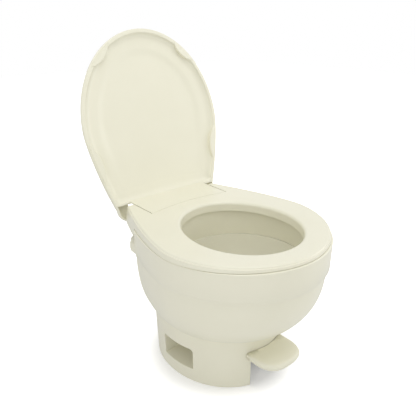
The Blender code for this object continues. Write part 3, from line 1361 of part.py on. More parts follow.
def build_pedal(pivot):
    """Tread, arm, hub, toothed sector and crank, moulded as one lever."""
    rings = []
    for drawn_share, height_share in PAD_FORM_SHARES:
        plan = pad_plan(PAD_UNDERCUT * drawn_share, PAD_CLEARANCE + PAD_REAR_LEAN * (1 - height_share))
        z = PAD_BOTTOM_Z + (PAD_TOP_Z - PAD_BOTTOM_Z) * height_share
        rings.append([point - Vector((0, PIVOT_Y, PEDAL_PIVOT_Z)) for point in level(plan, z)])
    pedal = piece("pedal", loft(rings), CREAM_SATIN, pivot)
    front = FOOT_FRONT_Y - PEDAL_ARM_REACH - PIVOT_Y
    half = PEDAL_ARM_HEIGHT / 2
    arm = prism([(0.0, -half), (front, PEDAL_ARM_RISE - half), (front, PEDAL_ARM_RISE + half), (0.0, half)],
                -PEDAL_ARM_HALF_WIDTH, PEDAL_ARM_HALF_WIDTH)
    combine(pedal, cutter("pedal_arm", arm, pivot), "UNION")
    hub = rod(PEDAL_HUB_RADIUS, (GEAR_OUTER_X, 0, 0), (PEDAL_HUB_RIGHT_X, 0, 0))
    combine(pedal, cutter("pedal_hub", hub, pivot), "UNION")
    combine(pedal, cutter("pedal_sector", sector_block(), pivot), "UNION")
    crank = box((CRANK_X - CRANK_WIDTH / 2, -PLUNGER_RADIUS, -CRANK_RADIUS - PLUNGER_RADIUS),
                (CRANK_X + CRANK_WIDTH / 2, PLUNGER_RADIUS, 0))
    combine(pedal, cutter("pedal_crank", crank, pivot), "UNION")
    bore = rod(PIVOT_RADIUS + GAP, (GEAR_OUTER_X - OVERRUN, 0, 0), (PEDAL_HUB_RIGHT_X + OVERRUN, 0, 0),
               SMALL_STEPS)
    combine(pedal, cutter("pedal_bore", bore, pivot))


def sector_block():
    """The toothed sector, which meets the pinion on the line between the axes."""
    teeth = PINION_TEETH * GEAR_RATIO
    radius = PINION_PITCH_RADIUS * GEAR_RATIO
    pitch = 2 * math.pi / teeth
    towards_ball = math.atan2(BALL_Z - PEDAL_PIVOT_Z, -PIVOT_Y)
    below = math.ceil(PEDAL_STROKE / pitch) + 1
    points = [(0.0, 0.0)]
    for tooth in range(-below, 2):
        points += gear_tooth(radius, teeth, towards_ball + pitch * tooth)
    return prism(points, GEAR_OUTER_X, GEAR_OUTER_X + GEAR_WIDTH)


def build_pivot():
    start = GEAR_OUTER_X - RUNNING_GAP - BRACKET_WIDTH
    end = PEDAL_HUB_RIGHT_X + RUNNING_GAP + BRACKET_WIDTH
    piece("pedal_pivot_pin", rod(PIVOT_RADIUS, (start, PIVOT_Y, PEDAL_PIVOT_Z), (end, PIVOT_Y, PEDAL_PIVOT_Z),
                                 SMALL_STEPS), STEEL_METAL)
    per_turn = 10
    count = round(SPRING_TURNS * per_turn)
    radius = PEDAL_HUB_RADIUS + SPRING_WIRE
    start_x = PEDAL_ARM_HALF_WIDTH + SPRING_WIRE
    coil = []
    for step in range(count + 1):
        angle = 2 * math.pi * step / per_turn
        coil.append(Vector((start_x + SPRING_PITCH * step / per_turn,
                            PIVOT_Y + radius * math.cos(angle), PEDAL_PIVOT_Z + radius * math.sin(angle))))
    foot = Vector((coil[0].x, coil[0].y, BASE_THICKNESS / 2))
    points = [foot] + coil + [coil[-1] - Vector((0, 0, SPRING_LEG))]
    tube("pedal_return_spring", points, SPRING_WIRE / 2, STEEL_METAL, resolution=1)
    gaps = [(one - two).length for index, one in enumerate(coil) for two in coil[index + per_turn // 2:]]
    print("least gap of the return spring to itself, mm:", round((min(gaps) - SPRING_WIRE) * 1000, 2))


def hose(name, points, finish):
    """A hose on a smooth line through the points."""
    length = sum((after - before).length for before, after in zip(points, points[1:]))
    tube(name, smooth_path(points, round(length / TUBE_SPACING) + 1), TUBE_RADIUS, finish)


def build_water_side(slide):
    """The valve beside the outlet, its supply from the inlet, and the hose up to the nozzle."""
    plunger_z = PEDAL_PIVOT_Z - CRANK_RADIUS
    nose = PLUNGER_RADIUS + GAP
    rod_mesh = rod(PLUNGER_RADIUS, (0, nose, 0), (0, nose + PLUNGER_LENGTH, 0), SMALL_STEPS)
    piece("valve_plunger", rod_mesh, STEEL_METAL, slide)
    face_y = PIVOT_Y + nose + PLUNGER_LENGTH / 3
    end_y = face_y + VALVE_LENGTH
    port_y = face_y + VALVE_LENGTH / 2
    port_z = plunger_z + VALVE_RADIUS + VALVE_PORT_LENGTH
    body = piece("water_valve", rod(VALVE_RADIUS, (CRANK_X, face_y, plunger_z), (CRANK_X, end_y, plunger_z),
                                    SMALL_STEPS), GREY)
    foot = box((CRANK_X - VALVE_FOOT_HALF_WIDTH, face_y + VALVE_FOOT_END, BASE_THICKNESS + GAP),
               (CRANK_X + VALVE_FOOT_HALF_WIDTH, end_y - VALVE_FOOT_END, plunger_z))
    combine(body, cutter("valve_foot", foot), "UNION")
    rear_port = rod(VALVE_PORT_RADIUS, (CRANK_X, end_y - VALVE_PORT_LENGTH, plunger_z),
                    (CRANK_X, end_y + VALVE_PORT_LENGTH, plunger_z), SMALL_STEPS)
    combine(body, cutter("valve_rear_port", rear_port), "UNION")
    top_port = rod(VALVE_PORT_RADIUS, (CRANK_X, port_y, plunger_z), (CRANK_X, port_y, port_z), SMALL_STEPS)
    combine(body, cutter("valve_top_port", top_port), "UNION")
    bore = rod(PLUNGER_RADIUS + GAP, (CRANK_X, face_y - OVERRUN, plunger_z),
               (CRANK_X, end_y - WALL / 2, plunger_z), SMALL_STEPS)
    combine(body, cutter("plunger_bore", bore))

    collar = INLET_COLLAR_LENGTH
    turned_piece("inlet_connector", [
        (INLET_BORE, collar + INLET_STUB), (INLET_RADIUS, collar + INLET_STUB), (INLET_RADIUS, collar),
        (INLET_COLLAR_RADIUS, collar), (INLET_COLLAR_RADIUS, 0.0), (INLET_RADIUS, 0.0),
        (INLET_RADIUS, -INLET_LENGTH), (INLET_BORE, -INLET_LENGTH)],
        NATURAL, (INLET_X, INLET_BOSS_REAR_Y + GAP, INLET_Z), ROUND_STEPS, (-math.pi / 2, 0, 0))

    start = Vector((INLET_X, INLET_BOSS_REAR_Y - INLET_LENGTH, INLET_Z))
    end = Vector((CRANK_X, end_y + VALVE_PORT_LENGTH + GAP, plunger_z))
    back = Vector((0, TUBE_SPACING, 0))
    hose("supply_hose", [
        start, start - back * 1.5, Vector((INLET_X, BASE_OPENING_FRONT_Y + TUBE_SPACING * 2, (INLET_Z + plunger_z) / 2)),
        Vector((CRANK_X + TUBE_RADIUS, BASE_OPENING_FRONT_Y - TUBE_SPACING, plunger_z + TUBE_RADIUS)),
        end + Vector((TUBE_RADIUS, TUBE_SPACING * 5, 0)), end + back * 2, end], NATURAL)
    nozzle_y = basin_front_y(NOZZLE_Z) - NOZZLE_REACH
    port = Vector((CRANK_X, port_y, port_z + GAP))
    top = Vector((0, nozzle_y, NOZZLE_Z - NOZZLE_DROP - GAP))
    rise = Vector((0, 0, TUBE_SPACING))
    hose("flush_hose", [
        port, port + rise * 3, Vector((CRANK_X * 0.95, port_y - TUBE_SPACING, BALL_Z)),
        Vector((CRANK_X * 0.8, (port_y + PEDESTAL_FRONT_Y) / 2, BOWL_FOOT_Z + TUBE_RADIUS * 3)),
        Vector((CRANK_X * 0.4, PEDESTAL_FRONT_Y - TUBE_RADIUS, THROAT_Z - THROAT_LIP + TUBE_RADIUS)),
        top + Vector((CRANK_X * 0.06, TUBE_SPACING * 2.5, -TUBE_SPACING * 5)),
        top - rise * 2 + Vector((0, TUBE_RADIUS / 2, 0)), top], NATURAL)
    build_nozzle(nozzle_y)


def build_nozzle(outer_y):
    """The rinse nozzle: an elbow behind the basin's front wall, with its flat head inside."""
    wall_y = nozzle_seat_y() + GAP
    nozzle = piece("rinse_nozzle", rod(NOZZLE_RADIUS, (0, outer_y, NOZZLE_Z), (0, wall_y + GAP, NOZZLE_Z),
                                       SMALL_STEPS), NATURAL)
    head = rod(NOZZLE_HEAD_RADIUS, (0, wall_y, NOZZLE_Z), (0, wall_y + NOZZLE_HEAD_LENGTH, NOZZLE_Z), ROUND_STEPS)
    combine(nozzle, cutter("nozzle_head", head), "UNION")
    drop = rod(NOZZLE_RADIUS, (0, outer_y, NOZZLE_Z - NOZZLE_DROP), (0, outer_y, NOZZLE_Z), BORE_STEPS)
    combine(nozzle, cutter("nozzle_drop", drop), "UNION")


def build_screws():
    for index, spot in enumerate(screw_spots()):
        low = PEDESTAL_TOP_Z - WALL - GAP
        turned_piece(f"bowl_screw_{index + 1}", [
            (0, low + SCREW_LENGTH), (SCREW_RADIUS, low + SCREW_LENGTH), (SCREW_RADIUS, low),
            (SCREW_HEAD_RADIUS, low), (SCREW_HEAD_RADIUS, low - SCREW_HEAD_HEIGHT),
            (0, low - SCREW_HEAD_HEIGHT)],
            STEEL_METAL, (spot.x, spot.y, 0), SMALL_STEPS)


clear_scene()
PARTS = collection("rv_toilet")
CUTTERS = collection("cutters")
CREAM_GLOSS = material("cream_gloss", CREAM, 0.25)
CREAM_SATIN = material("cream_satin", CREAM, 0.40)
RUBBER_PALE = material("pale_rubber", WHITE_RUBBER, 0.70)
RUBBER_BLACK = material("black_rubber", BLACK_RUBBER, 0.80)
GREY = material("grey_plastic", GREY_PLASTIC, 0.50)
NATURAL = material("natural_plastic", NATURAL_PLASTIC, 0.45)
STEEL_METAL = material("steel", STEEL, 0.35, 1.0)
BRASS_METAL = material("brass", BRASS, 0.35, 1.0)

CENTRE_DISTANCE = PINION_PITCH_RADIUS * (GEAR_RATIO + 1)
PIVOT_Y = -math.sqrt(CENTRE_DISTANCE ** 2 - (BALL_Z - PEDAL_PIVOT_Z) ** 2)

SEAT_HINGE = empty("seat_hinge_axis", (0, HINGE_Y, HINGE_Z))
LID_HINGE = empty("lid_hinge_axis", (0, HINGE_Y, HINGE_Z))
HINGES = (SEAT_HINGE, LID_HINGE)
BALL_AXLE = empty("ball_axis", (0, 0, BALL_Z))
PEDAL_PIVOT = empty("pedal_axis", (0, PIVOT_Y, PEDAL_PIVOT_Z))
PLUNGER_SLIDE = empty("plunger_axis", (CRANK_X, PIVOT_Y, PEDAL_PIVOT_Z - CRANK_RADIUS))

build_bowl()
build_basin()
build_pedestal()
build_base_plate()
build_seat(SEAT_HINGE)
build_lid(LID_HINGE)
build_hinge_pins()
build_floor_bolts()
build_valve_housing()
build_ball(BALL_AXLE)
build_drive_shaft(BALL_AXLE)
build_shaft_bushes()
build_seals()
build_pedal(PEDAL_PIVOT)
build_pivot()
build_water_side(PLUNGER_SLIDE)
build_screws()
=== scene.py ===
"""Looks for the toilet: its six mouldings at full smoothness, finishes, light and camera.

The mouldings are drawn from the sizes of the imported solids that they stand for, in metres. The seat's rear
corners, the lip of its hole, and the lid's dish and pads follow the photograph more closely, by a few
millimetres. Only the screw holes in the flanges between bowl and pedestal are left out, where nothing shows
them. The pedal keeps its packed lever and gets a smooth tread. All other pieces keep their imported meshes.
"""
import json
import math

import bmesh
import bpy
from mathutils import Matrix, Vector


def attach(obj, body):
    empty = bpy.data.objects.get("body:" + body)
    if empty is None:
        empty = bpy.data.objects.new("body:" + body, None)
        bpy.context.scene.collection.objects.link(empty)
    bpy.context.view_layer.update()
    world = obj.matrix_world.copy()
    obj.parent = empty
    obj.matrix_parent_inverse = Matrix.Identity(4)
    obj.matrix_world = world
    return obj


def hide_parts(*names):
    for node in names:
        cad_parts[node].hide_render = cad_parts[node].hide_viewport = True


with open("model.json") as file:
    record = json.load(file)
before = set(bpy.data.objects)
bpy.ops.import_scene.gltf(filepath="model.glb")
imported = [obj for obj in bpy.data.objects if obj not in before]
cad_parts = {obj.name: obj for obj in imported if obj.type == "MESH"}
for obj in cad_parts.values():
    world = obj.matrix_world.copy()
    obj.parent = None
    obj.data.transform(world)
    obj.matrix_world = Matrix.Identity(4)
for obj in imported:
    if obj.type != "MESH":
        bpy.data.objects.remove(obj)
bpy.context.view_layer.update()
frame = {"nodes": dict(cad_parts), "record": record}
NODES = frame["nodes"]
BODY_OF = {node: body for body, members in frame["record"]["behaviour"]["bodies"].items() for node in members}
SLOT_OF = {entry["node"]: entry["material_slot"] for entry in frame["record"]["subparts"]}

# Fits and walls
GAP = 0.0003
RUNNING_GAP = 0.0007
WALL = 0.0040
OVERRUN = 0.0100

# Bowl: plan of the rim band, seen from above
BOWL_HALF_WIDTH = 0.1935
BOWL_WIDEST_Y = -0.0400
BOWL_FRONT_Y = -0.2396
BOWL_TAPER = 0.0275
BOWL_TAPER_LENGTH = 0.1230
BOWL_REAR_Y = 0.0990
BOWL_REAR_CORNER = 0.0220
BOWL_LOWER_REAR_Y = 0.1160
PLAN_CENTRE_Y = -0.0200
# Bowl: heights
RIM_Z = 0.3175
RIM_EDGE = 0.0020
STEP_Z = 0.2608
STEP_INSET = 0.0013
STEP_LIP = 0.0022
STEP_LIP_DROP = 0.0006
STEP_FOOT_Z = 0.2525
STEP_FOOT_INSET = 0.0080
BOWL_FOOT_Z = 0.1180
BOWL_FOOT_EDGE = 0.0025
BOWL_FOOT_INSET = 0.0025
BELLY_POWER = 2.2
BELLY_ROUNDNESS = 1.6
# Bowl: mouth under the seat, and the basin that hangs below it
MOUTH_HALF_WIDTH = 0.1385
MOUTH_WIDEST_Y = -0.0600
MOUTH_FRONT_Y = -0.2015
MOUTH_REAR_Y = 0.0795
MOUTH_FOOT_Z = 0.2530
BASIN_INSET = 0.0020
THROAT_RADIUS = 0.0365
THROAT_Z = 0.1530
THROAT_LIP = 0.0090
BASIN_POWER = 2.6
BASIN_ROUNDNESS = 1.9
FLANGE_WIDTH = 0.0120

# Hinge axis, shared by the seat and the lid
HINGE_Y = 0.1594
HINGE_Z = 0.3160
PIN_RADIUS = 0.0040

# Deck behind the bowl, and the hinge posts on it
DECK_HALF_WIDTH = 0.1400
DECK_FRONT_Y = 0.0942
DECK_REAR_Y = 0.1580
DECK_CORNER = 0.0200
DECK_BOTTOM_Z = 0.2380
DECK_CREASE_Z = 0.2520
DECK_BOTTOM_INSET = 0.0120
DECK_SHELF_Z = 0.2740
DECK_TOP_Z = 0.2965
DECK_TOP_REAR_Y = 0.1335
DECK_EAR_BOTTOM_Z = 0.2430
DECK_EAR_HALF_WIDTH = 0.1522
DECK_EAR_CORNER = 0.0080
DECK_EDGE = 0.0030
POST_INNER_X = 0.1125
POST_WIDTH = 0.0145
POST_RADIUS = 0.0105
POST_FOOT_Y = 0.1140
POST_REAR_Y = 0.1295
POST_UNDERSIDE_Z = 0.3000

# Seat
SEAT_INSET = 0.0035
SEAT_HALF_WIDTH = BOWL_HALF_WIDTH - SEAT_INSET
SEAT_WIDEST_Y = -0.0523
SEAT_FRONT_Y = -0.2334
SEAT_FRONT_POWER = 1.90
SEAT_TAPER = 0.0557
SEAT_TAPER_LENGTH = 0.2000
SEAT_REAR_Y = 0.1735
SEAT_REAR_CORNER = 0.0025
SEAT_TOP_Z = 0.3340
SEAT_SLOPE = 0.0300
SEAT_EDGE = 0.0040
SEAT_FLARE = 0.0065
SEAT_LIFT = 0.0010
ARM_UNDERSIDE_Z = 0.3020
ARM_DROP_START_Y = 0.0800
ARM_DROP_END_Y = 0.1020
SEAT_SKIN = 0.0035
HOLE_HALF_WIDTH = 0.1192
HOLE_WIDEST_Y = -0.0625
HOLE_FRONT_Y = -0.1870
HOLE_REAR_Y = 0.0745
HOLE_LIP_DROP = 0.0210
HOLE_LIP_WALL = 0.0032
BAY_HALF_WIDTH = 0.1088
BAY_WALL = 0.0030

# Lid, in its own plane: across, up the lid from its foot, and back from its lip. The lean is in radians
LID_FOOT_Y = 0.1885
LID_FOOT_Z = 0.3315
LID_LEAN = 0.2370
LID_TIP = 0.3831
LID_INSET = 0.0055
LID_HALF_WIDTH = SEAT_HALF_WIDTH - LID_INSET
LID_WIDEST = 0.1720
LID_TAPER = 0.0375
LID_TAPER_LENGTH = 0.1580
LID_BOTTOM = -0.0350
LID_CORNER = 0.0270
LID_CENTRE = 0.1750
LIP_WIDTH = 0.0100
DISH_UNIT = 0.0120
LID_DEPTH = 0.0165
LID_SKIN = 0.0032
LID_EDGE = 0.0030
LID_THIN_UP = 0.1300
RIDGE_TOP = 0.0085
RIDGE_BOTTOM = 0.0035
POCKET_BAND = 0.0042
POCKET_DEPTH = 0.0120
PANEL_HALF_WIDTH = 0.1062
PANEL_THICKNESS = 0.0030
PANEL_MIDDLE_Y = 0.1170
PANEL_SIDE_Y = 0.1045
PANEL_ROOT_DEPTH = 0.0040
PAD_HEIGHT = 0.0008
PAD_EDGE = 0.0015
PAD_SET_IN = 0.0037
PAD_LENGTH = 0.0570
BOSS_RADIUS = 0.0145
BOSS_INNER_X = 0.0885

# Pedestal: plan at its top and at the floor
PEDESTAL_HALF_WIDTH = 0.1335
PEDESTAL_MIDDLE_Y = 0.0120
PEDESTAL_FRONT_Y = -0.1400
PEDESTAL_REAR_Y = 0.1650
FOOT_HALF_WIDTH = 0.1300
FOOT_MIDDLE_Y = 0.0080
FOOT_FRONT_Y = -0.1410
FOOT_REAR_Y = 0.1600
PEDESTAL_REAR_POWER = 2.1
PEDESTAL_TOP_Z = BOWL_FOOT_Z - GAP
PEDESTAL_EDGE = 0.0022
FOOT_EDGE = 0.0008
# Pedestal: the pedal's cutout, and the bolt pockets
CUTOUT_LEFT_X = -0.0390
CUTOUT_RIGHT_X = 0.0560
CUTOUT_TOP_Z = 0.0690
POCKET_FRONT_Y = -0.0460
POCKET_REAR_Y = 0.0400
POCKET_FLOOR_Z = 0.0300
POCKET_SLOPE = 0.0040
POCKET_TOP_Z = 0.0800
POCKET_INNER_X = 0.0645
POCKET_CORNER = 0.0080
POCKET_WALL = 0.0025

# Floor bolts, on each side of the outlet
BOLT_SPACING = 0.1520
BOLT_RADIUS = 0.0040

# Half-ball valve
BALL_Z = 0.1050

# Pedal train: a sector on the pedal turns a pinion on the ball's shaft
GEAR_RATIO = 5
PINION_PITCH_RADIUS = 0.0150
PEDAL_PIVOT_Z = 0.0580
PEDAL_HUB_RADIUS = 0.0090
PAD_CENTRE_X = 0.0030
PAD_HALF_WIDTH = 0.0535
PAD_FRONT_Y = -0.2045
PAD_MIDDLE_Y = -0.1500
PAD_BOTTOM_Z = 0.0625
PAD_TOP_Z = 0.0860
PAD_UNDERCUT = 0.0120
PAD_CLEARANCE = 0.0016
PAD_REAR_LEAN = 0.0026
PEDAL_ARM_HALF_WIDTH = 0.0110
PEDAL_ARM_HEIGHT = 0.0120
PEDAL_ARM_REACH = 0.0180
SPRING_WIRE = 0.0020

# Water side
INLET_X = 0.0600
INLET_Z = 0.0900
INLET_RADIUS = 0.0105
INLET_BOSS_RADIUS = 0.0170
INLET_BOSS_REAR_Y = 0.1602
INLET_BOSS_FRONT_Y = 0.1310
NOZZLE_Z = 0.2320
NOZZLE_RADIUS = 0.0060
NOZZLE_HEAD_RADIUS = 0.0095

# Roundings and fades that only the looks need
DISH_FOOT_SHARE = 0.76
DISH_FADE_UP = 0.1500
STEP_EDGE = 0.0008
HOLE_ROLL = 0.0070
LID_ROUND = 0.0026
SEAT_SUPPORT = 0.0006
ROLL_DEGREES = 75.0
ROLL_END_SHARE = 1.24
ROLL_RISE_SHARE = 0.10

# Hinge eye of a post, in degrees
POST_EYE_START = -90.0
POST_EYE_TURN = 200.0

# Facets
PLAN_STEPS = 192
CORNER_STEPS = 3
CORNER_SECTOR = (math.radians(110), math.radians(140))
OUTLINE_STEPS = 64
SIDE_STEPS = 24
BELLY_STEPS = 32
BASIN_STEPS = 24
FINE_STEPS = 90
ROUND_STEPS = 48
SMALL_STEPS = 24
BORE_STEPS = 24
ARC_STEPS = 8
POCKET_CORNER_STEPS = 5
PAD_FORM_STEPS = 4
# The hidden skins take every fourth or third ring of the faces that show
BELLY_SKIN_STRIDE = 4
BASIN_SKIN_STRIDE = 3
SHARP_ANGLE = math.radians(35)
TINY = 0.000001
MERGE_DISTANCE = 0.00001

# Forms, as shares of the sizes that they follow
TAPER_POWER = 1.5
EDGE_TURN_SHARE = 0.3
PAD_POWER = 2.8
REAR_BLOCK_POWER = 6.0
# The deck's ears: height and width
EAR_SHARES = ((0.0, 0.900), (0.077, 0.946), (0.210, 0.985), (0.370, 1.0), (0.605, 0.994),
              (0.710, 0.955), (0.790, 0.885), (1.0, 0.860))
# The lid's back: how far in from the edge, then how far back at the foot and at the tip
LID_BACK_SHARES = ((0.0, 0.25, 0.20), (0.0, 0.55, 0.32), (0.7, 0.75, 0.41), (3.0, 0.90, 0.54),
                   (4.4, 0.92, 0.60), (7.4, 0.94, 0.74), (14.5, 0.95, 0.81), (17.0, 1.0, 0.96),
                   (23.0, 1.0, 1.0))
# The lid's dish: how far in from the lip, and how far back
LID_DISH_SHARES = ((0.25, 0.42), (1.0, 0.66), (2.6, 0.76), (3.9, 0.95), (5.15, 1.0))
# The lid's pads: across, up the lid, the way that the pad faces in radians, and its rise from the lip
LID_PAD_SHARES = (("top", 0.589, 0.8546, 0.773, 0.125), ("side", 0.865, 0.2809, -0.286, 0.085))
# The tread's side: how far drawn in, and height
PAD_FORM_SHARES = ((1.0, 0.0), (0.33, 0.22), (0.0, 0.56), (0.08, 0.76), (0.33, 0.90), (1.0, 0.97),
                   (2.0, 1.0))

# Worked out from the sizes above
CENTRE = Vector((0.0, PLAN_CENTRE_Y))
CENTRE_DISTANCE = PINION_PITCH_RADIUS * (GEAR_RATIO + 1)
PIVOT_Y = -math.sqrt(CENTRE_DISTANCE ** 2 - (BALL_Z - PEDAL_PIVOT_Z) ** 2)

# Colours are linear, each with a slightly darker shade for its patches
CREAM = (0.860, 0.838, 0.686)
CREAM_SHADE = (0.846, 0.824, 0.670)
# The basin's paler colours are partly its own paler plastic and partly painted light, standing in for the
# brighter light that falls into the bowl from above
BASIN_CREAM_AND_PAINTED_LIGHT = (0.888, 0.870, 0.745)
BASIN_SHADE_AND_PAINTED_LIGHT = (0.874, 0.856, 0.729)
# Colour, shade, roughness, bump, grain, metallic, coat
FINISHES = {
    "basin_gloss_and_painted_light": (BASIN_CREAM_AND_PAINTED_LIGHT, BASIN_SHADE_AND_PAINTED_LIGHT, 0.26, 0.03, 260.0, 0.0, 0.30),
    "cream_gloss": (CREAM, CREAM_SHADE, 0.34, 0.04, 260.0, 0.0, 0.20),
    "cream_satin": (CREAM, CREAM_SHADE, 0.46, 0.10, 420.0, 0.0, 0.0),
    "pale_rubber": ((0.62, 0.60, 0.52), (0.57, 0.55, 0.47), 0.75, 0.25, 700.0, 0.0, 0.0),
    "black_rubber": ((0.030, 0.030, 0.030), (0.018, 0.018, 0.018), 0.8, 0.3, 700.0, 0.0, 0.0),
    "grey_plastic": ((0.24, 0.24, 0.24), (0.20, 0.20, 0.20), 0.5, 0.2, 600.0, 0.0, 0.0),
    "natural_plastic": ((0.74, 0.74, 0.70), (0.68, 0.68, 0.64), 0.45, 0.12, 500.0, 0.0, 0.0),
    "steel": ((0.60, 0.60, 0.58), (0.50, 0.50, 0.48), 0.32, 0.12, 900.0, 1.0, 0.0),
    "brass": ((0.70, 0.52, 0.24), (0.58, 0.42, 0.18), 0.34, 0.12, 900.0, 1.0, 0.0),
}
# What all finishes share
PATCH_SCALE = 9.0
PATCH_DETAIL = 4.0
PATCH_ROUGHNESS = 0.6
PATCH_LOW = 0.35
PATCH_HIGH = 0.65
GRAIN_DETAIL = 3.0
GLOSS_SPREAD = 0.08
COAT_ROUGHNESS = 0.12
SPECULAR = 0.5
BUMP_DISTANCE = 0.0004

# Floor, world and lights
WHITE = (1.0, 1.0, 1.0, 1.0)
FLOOR_SIZE = 6.0
FLOOR_COLOUR = (0.9, 0.9, 0.9, 1.0)
FLOOR_ROUGHNESS = 0.9
FLOOR_SPECULAR = 0.2
# The floor's glow grows between two distances from the middle of the foot.
# The low glow close to the foot is painted shade: a darker ring round the base, added to the rendered shadow
NEAR_DISTANCE = 0.14
NEAR_GLOW_PAINTED_SHADE = 0.20
FAR_DISTANCE = 0.21
FAR_GLOW = 0.80
WORLD_LIGHT = 0.63
LIGHT_TARGET = Vector((0.0, 0.0, 0.32))
# Place, size and power
LIGHTS = {
    "front_light": ((-2.0, -1.3, 1.3), (1.5, 1.5), 7.2),
    "top_light": ((-0.1, -0.5, 2.5), (1.6, 1.6), 15.0),
    "right_light": ((1.9, -1.0, 0.9), (1.0, 1.6), 8.0),
}

# Camera at the photograph's angle, in degrees
CAMERA_PLACE = (-0.6583, -0.7081, 0.7241)
CAMERA_AZIMUTH = 41.13
CAMERA_ELEVATION = 21.03
CAMERA_SENSOR = 36.0
CAMERA_LENS = 42.65


def node_material(name, colour, shade, roughness, bump, grain_scale, metallic, coat):
    """A procedural finish: two close colours in soft patches, uneven gloss and a fine bump."""
    made = bpy.data.materials.new(name)
    made.use_nodes = True
    tree = made.node_tree
    shader = tree.nodes["Principled BSDF"]
    shader.inputs["Metallic"].default_value = metallic
    shader.inputs["Specular IOR Level"].default_value = SPECULAR
    shader.inputs["Coat Weight"].default_value = coat
    shader.inputs["Coat Roughness"].default_value = COAT_ROUGHNESS
    place = tree.nodes.new("ShaderNodeTexCoord")
    patches = tree.nodes.new("ShaderNodeTexNoise")
    patches.inputs["Scale"].default_value = PATCH_SCALE
    patches.inputs["Detail"].default_value = PATCH_DETAIL
    patches.inputs["Roughness"].default_value = PATCH_ROUGHNESS
    tree.links.new(place.outputs["Object"], patches.inputs["Vector"])
    ramp = tree.nodes.new("ShaderNodeValToRGB")
    low, high = ramp.color_ramp.elements
    low.position = PATCH_LOW
    low.color = (*shade, 1.0)
    high.position = PATCH_HIGH
    high.color = (*colour, 1.0)
    tree.links.new(patches.outputs["Fac"], ramp.inputs["Fac"])
    tree.links.new(ramp.outputs["Color"], shader.inputs["Base Color"])
    grain = tree.nodes.new("ShaderNodeTexNoise")
    grain.inputs["Scale"].default_value = grain_scale
    grain.inputs["Detail"].default_value = GRAIN_DETAIL
    tree.links.new(place.outputs["Object"], grain.inputs["Vector"])
    gloss = tree.nodes.new("ShaderNodeMapRange")
    gloss.inputs["To Min"].default_value = roughness - GLOSS_SPREAD / 2
    gloss.inputs["To Max"].default_value = roughness + GLOSS_SPREAD / 2
    tree.links.new(grain.outputs["Fac"], gloss.inputs["Value"])
    tree.links.new(gloss.outputs["Result"], shader.inputs["Roughness"])
    relief = tree.nodes.new("ShaderNodeBump")
    relief.inputs["Strength"].default_value = bump
    relief.inputs["Distance"].default_value = BUMP_DISTANCE
    tree.links.new(grain.outputs["Fac"], relief.inputs["Height"])
    tree.links.new(relief.outputs["Normal"], shader.inputs["Normal"])
    return made


FINISH = {slot: node_material(f"{slot}_finish", *values) for slot, values in FINISHES.items()}


def finish_of(node):
    """A node's finish is its slot's, but the basin is glossier and paler than the mouldings round it.
    Its paleness is partly its own paler plastic and partly painted light, for the brighter light falling into
    the bowl.
    """
    return FINISH["basin_gloss_and_painted_light" if node == "basin" else SLOT_OF[node]]


def as_object(name, bm):
    bmesh.ops.recalc_face_normals(bm, faces=bm.faces)
    mesh = bpy.data.meshes.new(name)
    bm.to_mesh(mesh)
    bm.free()
    item = bpy.data.objects.new(name, mesh)
    bpy.context.scene.collection.objects.link(item)
    return item


# The shapes that cut or join the moulding in hand, removed when it is done
CUTTERS = []


def cutter(name, bm):
    item = as_object(name, bm)
    CUTTERS.append(item)
    return item


def combine(item, other, operation="DIFFERENCE"):
    change = item.modifiers.new(other.name, "BOOLEAN")
    change.operation = operation
    change.solver = "EXACT"
    change.object = other


def moulding(item, node):
    """Keep the cut shape as a plain mesh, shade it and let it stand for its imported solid."""
    bpy.context.view_layer.update()
    graph = bpy.context.evaluated_depsgraph_get()
    bm = bmesh.new()
    bm.from_object(item, graph)
    bmesh.ops.remove_doubles(bm, verts=bm.verts, dist=MERGE_DISTANCE)
    bmesh.ops.dissolve_degenerate(bm, edges=bm.edges, dist=MERGE_DISTANCE)
    item.modifiers.clear()
    bm.to_mesh(item.data)
    bm.free()
    item.data.shade_smooth()
    item.data.set_sharp_from_angle(angle=SHARP_ANGLE)
    item.data.materials.clear()
    item.data.materials.append(finish_of(node))
    while CUTTERS:
        bpy.data.objects.remove(CUTTERS.pop(), do_unlink=True)
    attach(item, BODY_OF[node])
    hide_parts(node)


def mirrored(half):
    other = [Vector((-point.x, point.y)) for point in reversed(half)]
    return half + other[1:-1]


def arc_share(step, steps, power=2.0):
    """Sine and cosine of one step of a quarter turn, squared off by the power."""
    angle = math.pi / 2 * step / steps
    return math.sin(angle) ** (2 / power), math.cos(angle) ** (2 / power)


def oval(half_width, widest_y, front_y, rear_y, front_power=2.0, rear_power=2.0):
    half = []
    for step in range(FINE_STEPS + 1):
        across, along = arc_share(step, FINE_STEPS, front_power)
        half.append(Vector((half_width * across, widest_y + (front_y - widest_y) * along)))
    for step in range(1, FINE_STEPS + 1):
        along, across = arc_share(step, FINE_STEPS, rear_power)
        half.append(Vector((half_width * across, widest_y + (rear_y - widest_y) * along)))
    return mirrored(half)


def tapered(half_width, widest_y, front_y, taper, taper_length, rear_y, corner, power=2.0,
            front_steps=FINE_STEPS, side_steps=FINE_STEPS):
    """A round front, sides that draw in towards the rear, and a straight rear."""
    half = []
    for step in range(front_steps + 1):
        across, along = arc_share(step, front_steps, power)
        half.append(Vector((half_width * across, widest_y + (front_y - widest_y) * along)))
    corner_y = rear_y - corner
    for step in range(1, side_steps + 1):
        y = widest_y + (corner_y - widest_y) * step / side_steps
        drawn_in = taper * ((y - widest_y) / taper_length) ** TAPER_POWER
        half.append(Vector((half_width - drawn_in, y)))
    corner_x = half[-1].x - corner
    for step in range(1, ARC_STEPS + 1):
        along, across = arc_share(step, ARC_STEPS)
        half.append(Vector((corner_x + corner * across, corner_y + corner * along)))
    half.append(Vector((0.0, rear_y)))
    return mirrored(half)


def even_angles():
    return [2 * math.pi * step / PLAN_STEPS for step in range(PLAN_STEPS)]


